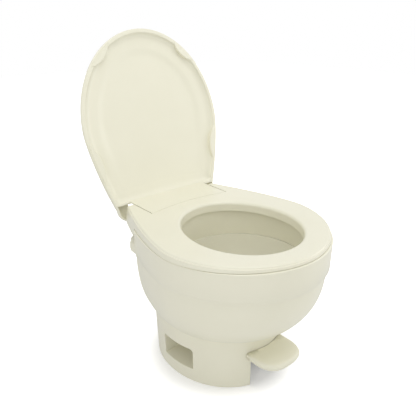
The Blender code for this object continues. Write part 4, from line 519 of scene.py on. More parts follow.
def plan_angles():
    """Angles about the bowl, closer together where its rear corners turn."""
    found = []
    for angle in even_angles():
        low, high = CORNER_SECTOR
        from_front = min(angle, 2 * math.pi - angle)
        steps = CORNER_STEPS if low <= from_front <= high else 1
        found += [angle + 2 * math.pi / PLAN_STEPS * step / steps for step in range(steps)]
    return found


def around(outline, centre=CENTRE, angles=None):
    """The outline's points at given angles about a centre that sees all of it."""
    found = []
    for angle in angles or even_angles():
        ray = Vector((math.sin(angle), -math.cos(angle)))
        best = 0.0
        for index, first in enumerate(outline):
            side = outline[(index + 1) % len(outline)] - first
            start = first - centre
            across = ray.cross(side)
            if across == 0.0:
                continue
            reach = start.cross(side) / across
            share = start.cross(ray) / across
            if -TINY <= share <= 1 + TINY and reach > best:
                best = reach
        found.append(centre + ray * best)
    return found


def inset(ring, distance, centre=CENTRE):
    return [point - (point - centre).normalized() * distance for point in ring]


def smooth_share(share):
    """From 0 to 1, level at both ends."""
    share = min(max(share, 0.0), 1.0)
    return share * share * (3 - 2 * share)


def blend(first, second, share):
    return [one.lerp(two, share) for one, two in zip(first, second)]


def level(ring, z):
    """Points at a height, which may be a rule that gives the height at a y."""
    return [Vector((point.x, point.y, z(point.y) if callable(z) else z)) for point in ring]


def loft(rings, ring_closed=False):
    """Join rings of equal count. The ends get flat caps, or meet each other."""
    bm = bmesh.new()
    rows = [[bm.verts.new(point) for point in ring] for ring in rings]
    pairs = list(zip(rows, rows[1:]))
    if ring_closed:
        pairs.append((rows[-1], rows[0]))
    for lower, upper in pairs:
        count = len(lower)
        for index in range(count):
            after = (index + 1) % count
            bm.faces.new((lower[index], lower[after], upper[after], upper[index]))
    if not ring_closed:
        bm.faces.new(rows[0])
        bm.faces.new(rows[-1])
    bmesh.ops.triangulate(bm, faces=[face for face in bm.faces if len(face.verts) == 4])
    return bm


def box(low, high):
    bm = bmesh.new()
    bmesh.ops.create_cube(bm, size=1.0)
    low = Vector(low)
    high = Vector(high)
    size = high - low
    bmesh.ops.scale(bm, vec=size, verts=bm.verts)
    bmesh.ops.translate(bm, vec=(low + high) / 2, verts=bm.verts)
    return bm


def rod(radius, start, end, steps=ROUND_STEPS):
    """A cylinder between two points."""
    start = Vector(start)
    end = Vector(end)
    bm = bmesh.new()
    bmesh.ops.create_cone(
        bm, cap_ends=True, segments=steps, radius1=radius, radius2=radius, depth=(end - start).length)
    turn = Vector((0, 0, 1)).rotation_difference(end - start).to_matrix().to_4x4()
    bmesh.ops.transform(bm, matrix=Matrix.Translation((start + end) / 2) @ turn, verts=bm.verts)
    return bm


def prism(points, low_x, high_x):
    """A flat outline in Y and Z, from one X to another."""
    rings = [[Vector((x, point[0], point[1])) for point in points] for x in (low_x, high_x)]
    return loft(rings)


def rounded_box(low, high, radius):
    """A box whose four edges along X are rounded."""
    bm = box(low, high)
    edges = [edge for edge in bm.edges if abs(edge.verts[0].co.x - edge.verts[1].co.x) > radius]
    bmesh.ops.bevel(
        bm, geom=edges, offset=radius, segments=POCKET_CORNER_STEPS, profile=0.5, affect="EDGES")
    return bm


def seat_top(y):
    return SEAT_TOP_Z + SEAT_SLOPE * y


def panel_front(x):
    share = min(abs(x) / PANEL_HALF_WIDTH, 1.0) ** TAPER_POWER
    return PANEL_MIDDLE_Y + (PANEL_SIDE_Y - PANEL_MIDDLE_Y) * share


def panel_reach(x):
    """How far the front edge of the lid's panel is from the hinge axis."""
    y = panel_front(x)
    return math.hypot(HINGE_Y - y, seat_top(y) - HINGE_Z)


def bowl_band():
    outline = tapered(
        BOWL_HALF_WIDTH, BOWL_WIDEST_Y, BOWL_FRONT_Y, BOWL_TAPER, BOWL_TAPER_LENGTH,
        BOWL_REAR_Y, BOWL_REAR_CORNER)
    return around(outline, angles=plan_angles())


def bowl_lower():
    """The bowl's outline under its step, which reaches further back than the band."""
    outline = tapered(
        BOWL_HALF_WIDTH - STEP_FOOT_INSET, BOWL_WIDEST_Y, BOWL_FRONT_Y + STEP_FOOT_INSET, BOWL_TAPER,
        BOWL_TAPER_LENGTH, BOWL_LOWER_REAR_Y, BOWL_REAR_CORNER)
    return around(outline, angles=plan_angles())


def mouth_outline(distance=0.0, angles=None):
    outline = oval(
        MOUTH_HALF_WIDTH - distance, MOUTH_WIDEST_Y, MOUTH_FRONT_Y + distance, MOUTH_REAR_Y - distance)
    return around(outline, angles=angles)


def pedestal_plan(distance=0.0, angles=None):
    """The pedestal's outline at its top, drawn in by a distance."""
    outline = oval(
        PEDESTAL_HALF_WIDTH, PEDESTAL_MIDDLE_Y, PEDESTAL_FRONT_Y, PEDESTAL_REAR_Y,
        rear_power=PEDESTAL_REAR_POWER)
    return inset(around(outline, angles=angles), distance)


def foot_plan(distance=0.0):
    """The pedestal's outline at the floor, drawn in by a distance."""
    outline = oval(
        FOOT_HALF_WIDTH, FOOT_MIDDLE_Y, FOOT_FRONT_Y, FOOT_REAR_Y, rear_power=PEDESTAL_REAR_POWER)
    return inset(around(outline), distance)


def lid_point(x, up, back):
    """A point of the open lid: across, up from its foot, and back from its lip."""
    return Vector((
        x,
        LID_FOOT_Y + up * math.sin(LID_LEAN) + back * math.cos(LID_LEAN),
        LID_FOOT_Z + up * math.cos(LID_LEAN) - back * math.sin(LID_LEAN)))


def lid_points(ring, back):
    """The lid's plan is drawn with its tip at the front, so its y is turned over."""
    return [lid_point(point.x, -point.y, back) for point in ring]


def spindle(name, clearance):
    """The room that the lid's panel sweeps, a barrel round the hinge axis."""
    rings = []
    for step in range(ARC_STEPS * 2 + 1):
        x = BAY_HALF_WIDTH * (step / ARC_STEPS - 1)
        reach = (panel_reach(x) + clearance) / math.cos(math.pi / ROUND_STEPS)
        ring = []
        for turn in range(ROUND_STEPS):
            angle = 2 * math.pi * turn / ROUND_STEPS
            ring.append(Vector((x, HINGE_Y + reach * math.cos(angle), HINGE_Z + reach * math.sin(angle))))
        rings.append(ring)
    return cutter(name, loft(rings))


def belly_ring(share, top, foot):
    """A ring of the round belly, from the step's foot down to the bowl's foot."""
    spread = (1 - share ** BELLY_POWER) ** (1 / BELLY_ROUNDNESS)
    return blend(foot, top, spread)


def basin_ring(share, top, throat):
    spread = (1 - share ** BASIN_POWER) ** (1 / BASIN_ROUNDNESS)
    return blend(throat, top, spread)


def basin_height(share):
    top = MOUTH_FOOT_Z - GAP
    return top + (THROAT_Z - top) * share


def basin_front_y(z):
    """Where the basin's front wall stands at a height."""
    top = MOUTH_FOOT_Z - GAP
    share = (top - z) / (top - THROAT_Z)
    spread = (1 - share ** BASIN_POWER) ** (1 / BASIN_ROUNDNESS)
    return -THROAT_RADIUS + (MOUTH_FRONT_Y + BASIN_INSET + THROAT_RADIUS) * spread


def nozzle_seat_y():
    """A flat face in the basin's wall, as deep as the wall's slope under the nozzle's head."""
    return basin_front_y(NOZZLE_Z - NOZZLE_HEAD_RADIUS)


def rear_block(half_width, rear_y, corner):
    """A straight-sided outline that starts inside the bowl's rear wall."""
    outline = tapered(half_width, DECK_FRONT_Y + corner, DECK_FRONT_Y, 0.0, DECK_CORNER, rear_y, corner,
                      power=REAR_BLOCK_POWER)
    middle = Vector((0.0, (DECK_FRONT_Y + rear_y) / 2))
    return around(outline, middle), middle


def deck_block():
    """The deck: a low rounded shelf, with a shorter step on it that ends in a round ear at each side."""
    shelf, middle = rear_block(DECK_HALF_WIDTH, DECK_REAR_Y, DECK_CORNER)
    rings = [
        level(inset(shelf, DECK_BOTTOM_INSET, middle), DECK_BOTTOM_Z),
        level(shelf, DECK_CREASE_Z),
        level(shelf, DECK_SHELF_Z - DECK_EDGE),
        level(inset(shelf, DECK_EDGE, middle), DECK_SHELF_Z)]
    low = cutter("deck_shelf", loft(rings))
    step, middle = rear_block(DECK_EAR_HALF_WIDTH, DECK_TOP_REAR_Y, DECK_EAR_CORNER)
    rings = []
    for height_share, width_share in EAR_SHARES:
        narrowed = [Vector((point.x * width_share, point.y)) for point in step]
        rings.append(level(narrowed, DECK_EAR_BOTTOM_Z + (DECK_TOP_Z - DECK_EAR_BOTTOM_Z) * height_share))
    high = cutter("deck_step", loft(rings))
    combine(low, high, "UNION")
    return low


def post_block(side):
    """A hinge post: an arm that leans back from the deck to an eye on the axis."""
    points = []
    for step in range(SMALL_STEPS + 1):
        angle = math.radians(POST_EYE_START + POST_EYE_TURN * step / SMALL_STEPS)
        points.append((HINGE_Y + POST_RADIUS * math.cos(angle), HINGE_Z + POST_RADIUS * math.sin(angle)))
    points.append((POST_FOOT_Y, DECK_TOP_Z + POST_RADIUS))
    points.append((POST_FOOT_Y, DECK_SHELF_Z - DECK_EDGE * 2))
    points.append((POST_REAR_Y, DECK_SHELF_Z - DECK_EDGE * 2))
    points.append((POST_REAR_Y, POST_UNDERSIDE_Z))
    inner = side * POST_INNER_X
    outer = side * (POST_INNER_X + POST_WIDTH)
    return cutter(f"post_{side:+d}", prism(points, inner, outer))


def seat_outline():
    return tapered(
        SEAT_HALF_WIDTH, SEAT_WIDEST_Y, SEAT_FRONT_Y, SEAT_TAPER, SEAT_TAPER_LENGTH,
        SEAT_REAR_Y, SEAT_REAR_CORNER, SEAT_FRONT_POWER, OUTLINE_STEPS, SIDE_STEPS)


def flared(ring, share):
    """The side leans out towards the floor. Behind the widest part it leans straight sideways."""
    grown = []
    for point in ring:
        out = Vector((point.x, min(point.y - CENTRE.y, 0.0))).normalized()
        grown.append(point + out * SEAT_FLARE * share)
    return grown


def seat_hole(grow=0.0):
    centre = Vector((0.0, HOLE_WIDEST_Y))
    ring = around(oval(HOLE_HALF_WIDTH, HOLE_WIDEST_Y, HOLE_FRONT_Y, HOLE_REAR_Y), centre)
    return inset(ring, -grow, centre)


def lid_outline():
    return tapered(
        LID_HALF_WIDTH, -LID_WIDEST, -LID_TIP, LID_TAPER, LID_TAPER_LENGTH, -LID_BOTTOM, LID_CORNER,
        front_steps=OUTLINE_STEPS, side_steps=SIDE_STEPS)


def box_in_lid(low_x, high_x, low_up, high_up, front, back):
    corners = ((low_x, low_up), (high_x, low_up), (high_x, high_up), (low_x, high_up))
    return loft([[lid_point(x, up, depth) for x, up in corners] for depth in (front, back)])


def pocket_block(side, outline):
    """The hollow in each foot corner of the lid, round the end of the seat's arm."""
    rings = [lid_points(outline, -OVERRUN), lid_points(outline, POCKET_DEPTH)]
    pocket = cutter(f"lid_pocket_{side:+d}", loft(rings))
    ends = sorted((side * (PANEL_HALF_WIDTH - GAP * 4), side * (LID_HALF_WIDTH + OVERRUN)))
    corner = box_in_lid(*ends, LID_BOTTOM - OVERRUN, RIDGE_BOTTOM - GAP, -OVERRUN * 2, LID_DEPTH + OVERRUN)
    combine(pocket, cutter(f"lid_corner_{side:+d}", corner), "INTERSECT")
    return pocket


def panel_block():
    """The flat panel at the lid's foot, flush with the seat between its arms."""
    plan = []
    for step in range(ARC_STEPS * 2 + 1):
        x = PANEL_HALF_WIDTH * (step / ARC_STEPS - 1)
        plan.append(Vector((x, panel_front(x))))
    root = LID_FOOT_Y + PANEL_ROOT_DEPTH
    plan.append(Vector((PANEL_HALF_WIDTH, root)))
    plan.append(Vector((-PANEL_HALF_WIDTH, root)))
    rings = [
        level(plan, lambda y: seat_top(y) - PANEL_THICKNESS),
        level(plan, seat_top)]
    return cutter("lid_panel", loft(rings))


def pad_disc(side, across_share, up_share, facing, rise_share):
    """A disc whose rim shows in front of the lip as a lens-shaped pad, on which the closed lid rests."""
    rise = PAD_LENGTH * rise_share
    radius = ((PAD_LENGTH / 2) ** 2 + rise ** 2) / (2 * rise)
    out = Vector((side * math.cos(facing), math.sin(facing)))
    middle = Vector((side * LID_HALF_WIDTH * across_share, LID_TIP * up_share)) + out * (radius - rise)
    rings = []
    for drawn_in, back in ((0.0, LID_DEPTH * LID_DISH_SHARES[1][1]), (0.0, PAD_EDGE - PAD_HEIGHT),
                           (PAD_EDGE, -PAD_HEIGHT)):
        ring = []
        for step in range(FINE_STEPS):
            angle = 2 * math.pi * step / FINE_STEPS
            x, up = middle + (radius - drawn_in) * Vector((math.cos(angle), math.sin(angle)))
            ring.append(lid_point(x, up, back))
        rings.append(ring)
    return loft(rings)


def base_web_y():
    """The web in front of the outlet. The pedal spring's rear leg rests against it."""
    return PIVOT_Y + PEDAL_HUB_RADIUS + SPRING_WIRE + SPRING_WIRE / 2 + GAP


def pocket_cut(side):
    """The bolt pocket in the pedestal's side, with a floor that falls outwards."""
    rings = []
    for x, fall in ((POCKET_INNER_X, 0.0), (PEDESTAL_HALF_WIDTH + OVERRUN, POCKET_SLOPE)):
        floor = POCKET_FLOOR_Z + POCKET_SLOPE - fall
        ring = [Vector((side * x, POCKET_REAR_Y, floor)), Vector((side * x, POCKET_REAR_Y, POCKET_TOP_Z))]
        for step in range(ARC_STEPS + 1):
            along, across = arc_share(step, ARC_STEPS)
            ring.append(Vector((side * x, POCKET_FRONT_Y + POCKET_CORNER * (1 - along),
                                POCKET_TOP_Z - POCKET_CORNER * (1 - across))))
        ring.append(Vector((side * x, POCKET_FRONT_Y, floor)))
        rings.append(ring)
    return cutter(f"pocket_{side:+d}", loft(rings))


def pad_plan(drawn_in, clearance):
    """The pedal's tread from above: a round front, and a rear that follows the pedestal."""
    plan = []
    half = PAD_HALF_WIDTH - drawn_in
    front_y = PAD_FRONT_Y + drawn_in
    steps = FINE_STEPS // 2
    for step in range(steps + 1):
        angle = math.pi * step / steps
        across = math.copysign(abs(math.cos(angle)) ** (2 / PAD_POWER), -math.cos(angle))
        along = math.sin(angle) ** (2 / PAD_POWER)
        plan.append(Vector((PAD_CENTRE_X + half * across, PAD_MIDDLE_Y + (front_y - PAD_MIDDLE_Y) * along)))
    for step in range(steps + 1):
        x = PAD_CENTRE_X + half * (1 - 2 * step / steps)
        share = math.sqrt(1 - (x / PEDESTAL_HALF_WIDTH) ** 2)
        wall_y = PEDESTAL_MIDDLE_Y + (PEDESTAL_FRONT_Y - PEDESTAL_MIDDLE_Y) * share
        plan.append(Vector((x, wall_y - clearance)))
    return plan


def arc_steps(radius, degrees=90.0):
    """A rounded edge: how far in from the side, and how far down from the top, step by step."""
    found = []
    for step in range(ARC_STEPS + 1):
        angle = math.radians(degrees) * step / ARC_STEPS
        found.append((radius * (1 - math.cos(angle)), radius * (1 - math.sin(angle))))
    return found


def smooth_shares(shares, steps):
    """More pairs on one smooth line through the given ones."""
    spots = [Vector(pair) for pair in shares]
    spots = [2 * spots[0] - spots[1]] + spots + [2 * spots[-1] - spots[-2]]
    found = []
    for a, b, c, d in zip(spots, spots[1:], spots[2:], spots[3:]):
        for step in range(steps):
            t = step / steps
            found.append(0.5 * ((2 * b) + (c - a) * t + (2 * a - 5 * b + 4 * c - d) * t * t
                                + (3 * b - a - 3 * c + d) * t ** 3))
    return found + [spots[-2]]


def build_bowl():
    band = bowl_band()
    lower = bowl_lower()
    foot = pedestal_plan(BOWL_FOOT_INSET, plan_angles())
    mouth = mouth_outline(angles=plan_angles())
    mouth_skin = mouth_outline(-WALL, plan_angles())
    shares = [step / BELLY_STEPS for step in range(BELLY_STEPS, -1, -1)]

    def belly_z(share):
        return STEP_FOOT_Z + (BOWL_FOOT_Z + BOWL_FOOT_EDGE - STEP_FOOT_Z) * share

    rings = [level(inset(foot, BOWL_FOOT_EDGE), BOWL_FOOT_Z)]
    rings += [level(belly_ring(share, lower, foot), belly_z(share)) for share in shares]
    rings.append(level(inset(band, STEP_INSET + STEP_LIP), STEP_Z - STEP_LIP_DROP))
    rings.append(level(inset(band, STEP_INSET + STEP_EDGE), STEP_Z - STEP_LIP_DROP))
    rings.append(level(inset(band, STEP_INSET), STEP_Z + STEP_EDGE))
    rings.append(level(inset(band, STEP_INSET / 2), (STEP_Z + RIM_Z) / 2))
    rings += [level(inset(band, across), RIM_Z - down) for across, down in arc_steps(RIM_EDGE)]
    rings += [level(inset(mouth, -across), RIM_Z - down) for across, down in reversed(arc_steps(RIM_EDGE))]
    rings.append(level(mouth, MOUTH_FOOT_Z))
    rings.append(level(mouth_skin, MOUTH_FOOT_Z))
    rings.append(level(mouth_skin, RIM_Z - WALL))
    rings.append(level(inset(band, WALL + STEP_INSET), RIM_Z - WALL))
    rings.append(level(inset(band, WALL + STEP_INSET + STEP_LIP), STEP_Z))
    rings += [level(inset(belly_ring(share, lower, foot), WALL), belly_z(share))
              for share in reversed(shares[1:-1:BELLY_SKIN_STRIDE])]
    rings.append(level(inset(foot, WALL), BOWL_FOOT_Z + WALL + BOWL_FOOT_EDGE))
    rings.append(level(inset(foot, WALL + FLANGE_WIDTH), BOWL_FOOT_Z + WALL))
    rings.append(level(inset(foot, WALL + FLANGE_WIDTH), BOWL_FOOT_Z))
    bowl = as_object("bowl_moulding", loft(rings, ring_closed=True))
    combine(bowl, deck_block(), "UNION")
    combine(bowl, spindle("deck_trough", RUNNING_GAP * 2))
    for side in (-1, 1):
        combine(bowl, post_block(side), "UNION")
        hole = rod(PIN_RADIUS + GAP, (side * BAY_HALF_WIDTH, HINGE_Y, HINGE_Z),
                   (side * (POST_INNER_X + POST_WIDTH + OVERRUN), HINGE_Y, HINGE_Z), SMALL_STEPS)
        combine(bowl, cutter(f"post_hole_{side:+d}", hole))
    moulding(bowl, "bowl")


def build_basin():
    basin = mouth_outline(BASIN_INSET)
    skin = mouth_outline(BASIN_INSET - WALL)
    flange = mouth_outline(-WALL)
    throat = around(oval(THROAT_RADIUS, 0.0, -THROAT_RADIUS, THROAT_RADIUS))
    throat_skin = inset(throat, -WALL, Vector((0.0, 0.0)))
    shares = [step / BASIN_STEPS for step in range(BASIN_STEPS + 1)]
    rings = [level(basin_ring(share, basin, throat), basin_height(share)) for share in shares]
    rings.append(level(throat, THROAT_Z - THROAT_LIP))
    rings.append(level(throat_skin, THROAT_Z - THROAT_LIP))
    rings += [level(basin_ring(share, skin, throat_skin), basin_height(share) - WALL)
              for share in reversed(shares[::BASIN_SKIN_STRIDE])]
    rings.append(level(flange, basin_height(0.0) - WALL))
    rings.append(level(flange, basin_height(0.0)))
    item = as_object("basin_moulding", loft(rings, ring_closed=True))
    y = basin_front_y(NOZZLE_Z)
    hole = rod(NOZZLE_RADIUS + GAP, (0, y - WALL * 3, NOZZLE_Z), (0, y + WALL * 2, NOZZLE_Z), BORE_STEPS)
    combine(item, cutter("nozzle_hole", hole))
    seat_y = nozzle_seat_y()
    spot_face = rod(NOZZLE_HEAD_RADIUS + GAP * 2, (0, seat_y, NOZZLE_Z), (0, seat_y + WALL, NOZZLE_Z))
    combine(item, cutter("nozzle_spot_face", spot_face))
    moulding(item, "basin")


def build_pedestal():
    foot = foot_plan()
    top = pedestal_plan()
    rings = [level(foot_plan(FOOT_EDGE), 0.0)]
    high = PEDESTAL_TOP_Z - PEDESTAL_EDGE
    for step in range(SIDE_STEPS + 1):
        share = step / SIDE_STEPS
        rings.append(level(blend(foot, top, share), FOOT_EDGE + (high - FOOT_EDGE) * share))
    rings += [level(pedestal_plan(across), PEDESTAL_TOP_Z - down)
              for across, down in arc_steps(PEDESTAL_EDGE)[1:]]
    pedestal = as_object("pedestal_moulding", loft(rings))

    flange_inside = pedestal_plan(WALL + FLANGE_WIDTH)
    rings = [
        level(foot_plan(WALL), -OVERRUN),
        level(foot_plan(WALL), FOOT_EDGE),
        level(pedestal_plan(WALL), PEDESTAL_TOP_Z - WALL),
        level(flange_inside, PEDESTAL_TOP_Z - WALL),
        level(flange_inside, PEDESTAL_TOP_Z + OVERRUN)]
    room = cutter("pedestal_room", loft(rings))
    for side in (-1, 1):
        inner = side * (POCKET_INNER_X - POCKET_WALL)
        outer = side * (PEDESTAL_HALF_WIDTH + OVERRUN)
        walls = rounded_box(
            (min(inner, outer), POCKET_FRONT_Y - POCKET_WALL, POCKET_FLOOR_Z - POCKET_WALL),
            (max(inner, outer), POCKET_REAR_Y + POCKET_WALL, POCKET_TOP_Z + POCKET_WALL), POCKET_CORNER)
        combine(room, cutter(f"pocket_walls_{side:+d}", walls))
    boss = rod(INLET_BOSS_RADIUS, (INLET_X, INLET_BOSS_FRONT_Y, INLET_Z),
               (INLET_X, INLET_BOSS_REAR_Y, INLET_Z))
    combine(pedestal, room)
    combine(pedestal, cutter("inlet_boss", boss), "UNION")
    for side in (-1, 1):
        combine(pedestal, pocket_cut(side))
        bolt_x = side * BOLT_SPACING / 2
        hole = rod(BOLT_RADIUS + GAP * 2, (bolt_x, 0, POCKET_FLOOR_Z - OVERRUN), (bolt_x, 0, POCKET_TOP_Z),
                   SMALL_STEPS)
        combine(pedestal, cutter(f"pocket_bolt_hole_{side:+d}", hole))
    cutout = box((CUTOUT_LEFT_X, FOOT_FRONT_Y - OVERRUN, -OVERRUN),
                 (CUTOUT_RIGHT_X, base_web_y(), CUTOUT_TOP_Z))
    combine(pedestal, cutter("pedal_cutout", cutout))
    inlet_hole = rod(INLET_RADIUS + GAP, (INLET_X, INLET_BOSS_FRONT_Y - OVERRUN, INLET_Z),
                     (INLET_X, INLET_BOSS_REAR_Y + OVERRUN, INLET_Z))
    combine(pedestal, cutter("inlet_hole", inlet_hole))
    moulding(pedestal, "pedestal")


def build_seat():
    top = seat_outline()
    rings = [
        level(flared(top, 1.0), ARM_UNDERSIDE_Z),
        level(flared(top, EDGE_TURN_SHARE), lambda y: seat_top(y) - SEAT_EDGE)]
    for across, down in arc_steps(SEAT_EDGE)[1:]:
        rings.append(level(inset(top, across), lambda y, down=down: seat_top(y) - down))
    rings.append(level(inset(top, SEAT_EDGE + SEAT_SUPPORT), seat_top))
    seat = as_object("seat_moulding", loft(rings))

    inner = inset(top, WALL)
    rings = [
        level(flared(inner, 1.0), ARM_UNDERSIDE_Z - OVERRUN),
        level(inner, lambda y: seat_top(y) - SEAT_SKIN)]
    hollow = cutter("seat_hollow", loft(rings))
    bay_frame = box(
        (-BAY_HALF_WIDTH - BAY_WALL, PANEL_SIDE_Y - BAY_WALL * 3, ARM_UNDERSIDE_Z - OVERRUN * 2),
        (BAY_HALF_WIDTH + BAY_WALL, SEAT_REAR_Y + OVERRUN, SEAT_TOP_Z + OVERRUN * 2))
    combine(hollow, cutter("bay_frame", bay_frame))
    combine(seat, hollow)
    low_z = ARM_UNDERSIDE_Z - OVERRUN
    seat_underside = RIM_Z + SEAT_LIFT
    front_room = prism([
        (SEAT_FRONT_Y - OVERRUN, low_z), (ARM_DROP_END_Y, low_z), (ARM_DROP_END_Y, ARM_UNDERSIDE_Z),
        (ARM_DROP_START_Y, seat_underside), (SEAT_FRONT_Y - OVERRUN, seat_underside)],
        -SEAT_HALF_WIDTH - OVERRUN, SEAT_HALF_WIDTH + OVERRUN)
    combine(seat, cutter("seat_front_room", front_room))
    band_room = loft([
        level(inset(bowl_band(), -RUNNING_GAP * 2), low_z),
        level(inset(bowl_band(), -RUNNING_GAP * 2), seat_underside)])
    combine(seat, cutter("bowl_band_room", band_room))

    lip = loft([
        level(seat_hole(HOLE_LIP_WALL), lambda y: seat_top(y) - HOLE_LIP_DROP),
        level(seat_hole(HOLE_LIP_WALL), lambda y: seat_top(y) - SEAT_SKIN / 2)])
    combine(seat, cutter("hole_lip", lip), "UNION")
    rings = [level(seat_hole(), lambda y: seat_top(y) - HOLE_LIP_DROP - OVERRUN)]
    for across, down in arc_steps(HOLE_ROLL, ROLL_DEGREES):
        rings.append(level(seat_hole(across), lambda y, down=down: seat_top(y) - down))
    rings.append(level(seat_hole(HOLE_ROLL * ROLL_END_SHARE),
                       lambda y: seat_top(y) + HOLE_ROLL * ROLL_RISE_SHARE))
    combine(seat, cutter("seat_hole", loft(rings)))

    bay = box(
        (-BAY_HALF_WIDTH, HINGE_Y - POST_RADIUS * 2, ARM_UNDERSIDE_Z - OVERRUN * 2),
        (BAY_HALF_WIDTH, SEAT_REAR_Y + OVERRUN, SEAT_TOP_Z + OVERRUN * 2))
    combine(seat, cutter("bay", bay))
    combine(seat, spindle("bay_barrel", RUNNING_GAP))
    for side in (-1, 1):
        arm_room = box(
            (side * (BAY_HALF_WIDTH + BAY_WALL), HINGE_Y - BOSS_RADIUS, ARM_UNDERSIDE_Z - OVERRUN),
            (side * (POST_INNER_X + POST_WIDTH + RUNNING_GAP), SEAT_REAR_Y + OVERRUN,
             seat_top(HINGE_Y) - SEAT_SKIN))
        combine(seat, cutter(f"arm_room_{side:+d}", arm_room))
        hole = rod(PIN_RADIUS + GAP, (side * BOSS_INNER_X, HINGE_Y, HINGE_Z),
                   (side * (POST_INNER_X + POST_WIDTH + RUNNING_GAP * 3), HINGE_Y, HINGE_Z), BORE_STEPS)
        combine(seat, cutter(f"arm_hole_{side:+d}", hole))
    moulding(seat, "seat")


def build_lid():
    centre = Vector((0.0, -LID_CENTRE))
    ring = lid_outline()

    def section(distance, back):
        return lid_points(inset(ring, distance, centre), back)

    def back_section(inward, foot_share, tip_share):
        points = []
        for point in inset(ring, LID_EDGE * inward, centre):
            share = foot_share + (tip_share - foot_share) * smooth_share(-point.y / LID_THIN_UP)
            points.append(lid_point(point.x, -point.y, LID_DEPTH * share))
        return points

    rings = [section(LID_ROUND + SEAT_SUPPORT, 0.0)]
    rings += [section(across, down) for across, down in reversed(arc_steps(LID_ROUND))]
    rings += [back_section(*shares) for shares in LID_BACK_SHARES]
    lid = as_object("lid_moulding", loft(rings))

    dish_outline = tapered(
        LID_HALF_WIDTH - LIP_WIDTH, -LID_WIDEST, -LID_TIP + LIP_WIDTH, LID_TAPER, LID_TAPER_LENGTH,
        -RIDGE_TOP, LIP_WIDTH, front_steps=OUTLINE_STEPS, side_steps=SIDE_STEPS)
    deep = LID_DEPTH - LID_SKIN
    rings = [lid_points(inset(dish_outline, -LID_ROUND * ROLL_END_SHARE, centre),
                        -LID_ROUND * ROLL_RISE_SHARE)]
    rings += [lid_points(inset(dish_outline, -across, centre), down)
              for across, down in reversed(arc_steps(LID_ROUND, ROLL_DEGREES))]
    for inward, down in smooth_shares(LID_DISH_SHARES, ARC_STEPS):
        points = []
        for point in inset(dish_outline, DISH_UNIT * inward, centre):
            fade = smooth_share((-point.y - RIDGE_TOP) / DISH_FADE_UP)
            share = min(down, DISH_FOOT_SHARE) + max(down - DISH_FOOT_SHARE, 0.0) * fade
            points.append(lid_point(point.x, -point.y, deep * share))
        rings.append(points)
    combine(lid, cutter("lid_dish", loft(rings)))

    for side in (-1, 1):
        combine(lid, pocket_block(side, inset(ring, POCKET_BAND, centre)))
    middle = box_in_lid(-PANEL_HALF_WIDTH, PANEL_HALF_WIDTH, LID_BOTTOM - OVERRUN, RIDGE_BOTTOM,
                        -OVERRUN, LID_DEPTH + OVERRUN)
    combine(lid, cutter("lid_middle", middle))
    combine(lid, panel_block(), "UNION")
    for side in (-1, 1):
        inner = side * BOSS_INNER_X
        outer = side * (PANEL_HALF_WIDTH - GAP)
        points = []
        for step in range(SMALL_STEPS + 1):
            angle = math.pi + math.pi * step / SMALL_STEPS
            points.append((HINGE_Y + BOSS_RADIUS * math.cos(angle),
                           HINGE_Z + BOSS_RADIUS * math.sin(angle)))
        for y in (HINGE_Y + BOSS_RADIUS, HINGE_Y - BOSS_RADIUS):
            points.append((y, seat_top(y) - PANEL_THICKNESS / 2))
        combine(lid, cutter(f"lid_boss_{side:+d}", prism(points, inner, outer)), "UNION")
        hole = rod(PIN_RADIUS + GAP, (inner - side * OVERRUN, HINGE_Y, HINGE_Z),
                   (outer + side * OVERRUN, HINGE_Y, HINGE_Z), SMALL_STEPS)
        combine(lid, cutter(f"lid_boss_hole_{side:+d}", hole))
    for side in (-1, 1):
        for where, *shares in LID_PAD_SHARES:
            pad = cutter(f"lid_pad_{where}_{side:+d}", pad_disc(side, *shares))
            within = inset(ring, PAD_SET_IN, centre)
            edge = loft([lid_points(within, -OVERRUN), lid_points(within, LID_DEPTH / 2)])
            combine(pad, cutter(f"lid_pad_edge_{where}_{side:+d}", edge), "INTERSECT")
            combine(lid, pad, "UNION")
    moulding(lid, "lid")


def build_pedal():
    """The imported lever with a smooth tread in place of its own."""
    rings = []
    for drawn_share, height_share in smooth_shares(PAD_FORM_SHARES, PAD_FORM_STEPS):
        plan = pad_plan(PAD_UNDERCUT * max(drawn_share, 0.0),
                        PAD_CLEARANCE + PAD_REAR_LEAN * (1 - height_share))
        rings.append(level(plan, PAD_BOTTOM_Z + (PAD_TOP_Z - PAD_BOTTOM_Z) * height_share))
    tread = cutter("tread", loft(rings))
    bm = bmesh.new()
    bm.from_mesh(NODES["pedal"].data)
    bmesh.ops.remove_doubles(bm, verts=bm.verts, dist=MERGE_DISTANCE)
    pedal = as_object("pedal_moulding", bm)
    own_tread = box((-PAD_HALF_WIDTH * 2, PAD_FRONT_Y - OVERRUN, PEDAL_PIVOT_Z - OVERRUN * 2),
                    (PAD_HALF_WIDTH * 2, FOOT_FRONT_Y - PAD_CLEARANCE * 3, PAD_TOP_Z + OVERRUN))
    arm_end = box(
        (-PEDAL_ARM_HALF_WIDTH, FOOT_FRONT_Y - PEDAL_ARM_REACH, PAD_BOTTOM_Z - PEDAL_ARM_HEIGHT / 2),
        (PEDAL_ARM_HALF_WIDTH, FOOT_FRONT_Y, PAD_BOTTOM_Z + PEDAL_ARM_HEIGHT / 2))
    combine(pedal, cutter("own_tread", own_tread))
    combine(pedal, cutter("arm_end", arm_end), "UNION")
    combine(pedal, tread, "UNION")
    moulding(pedal, "pedal")


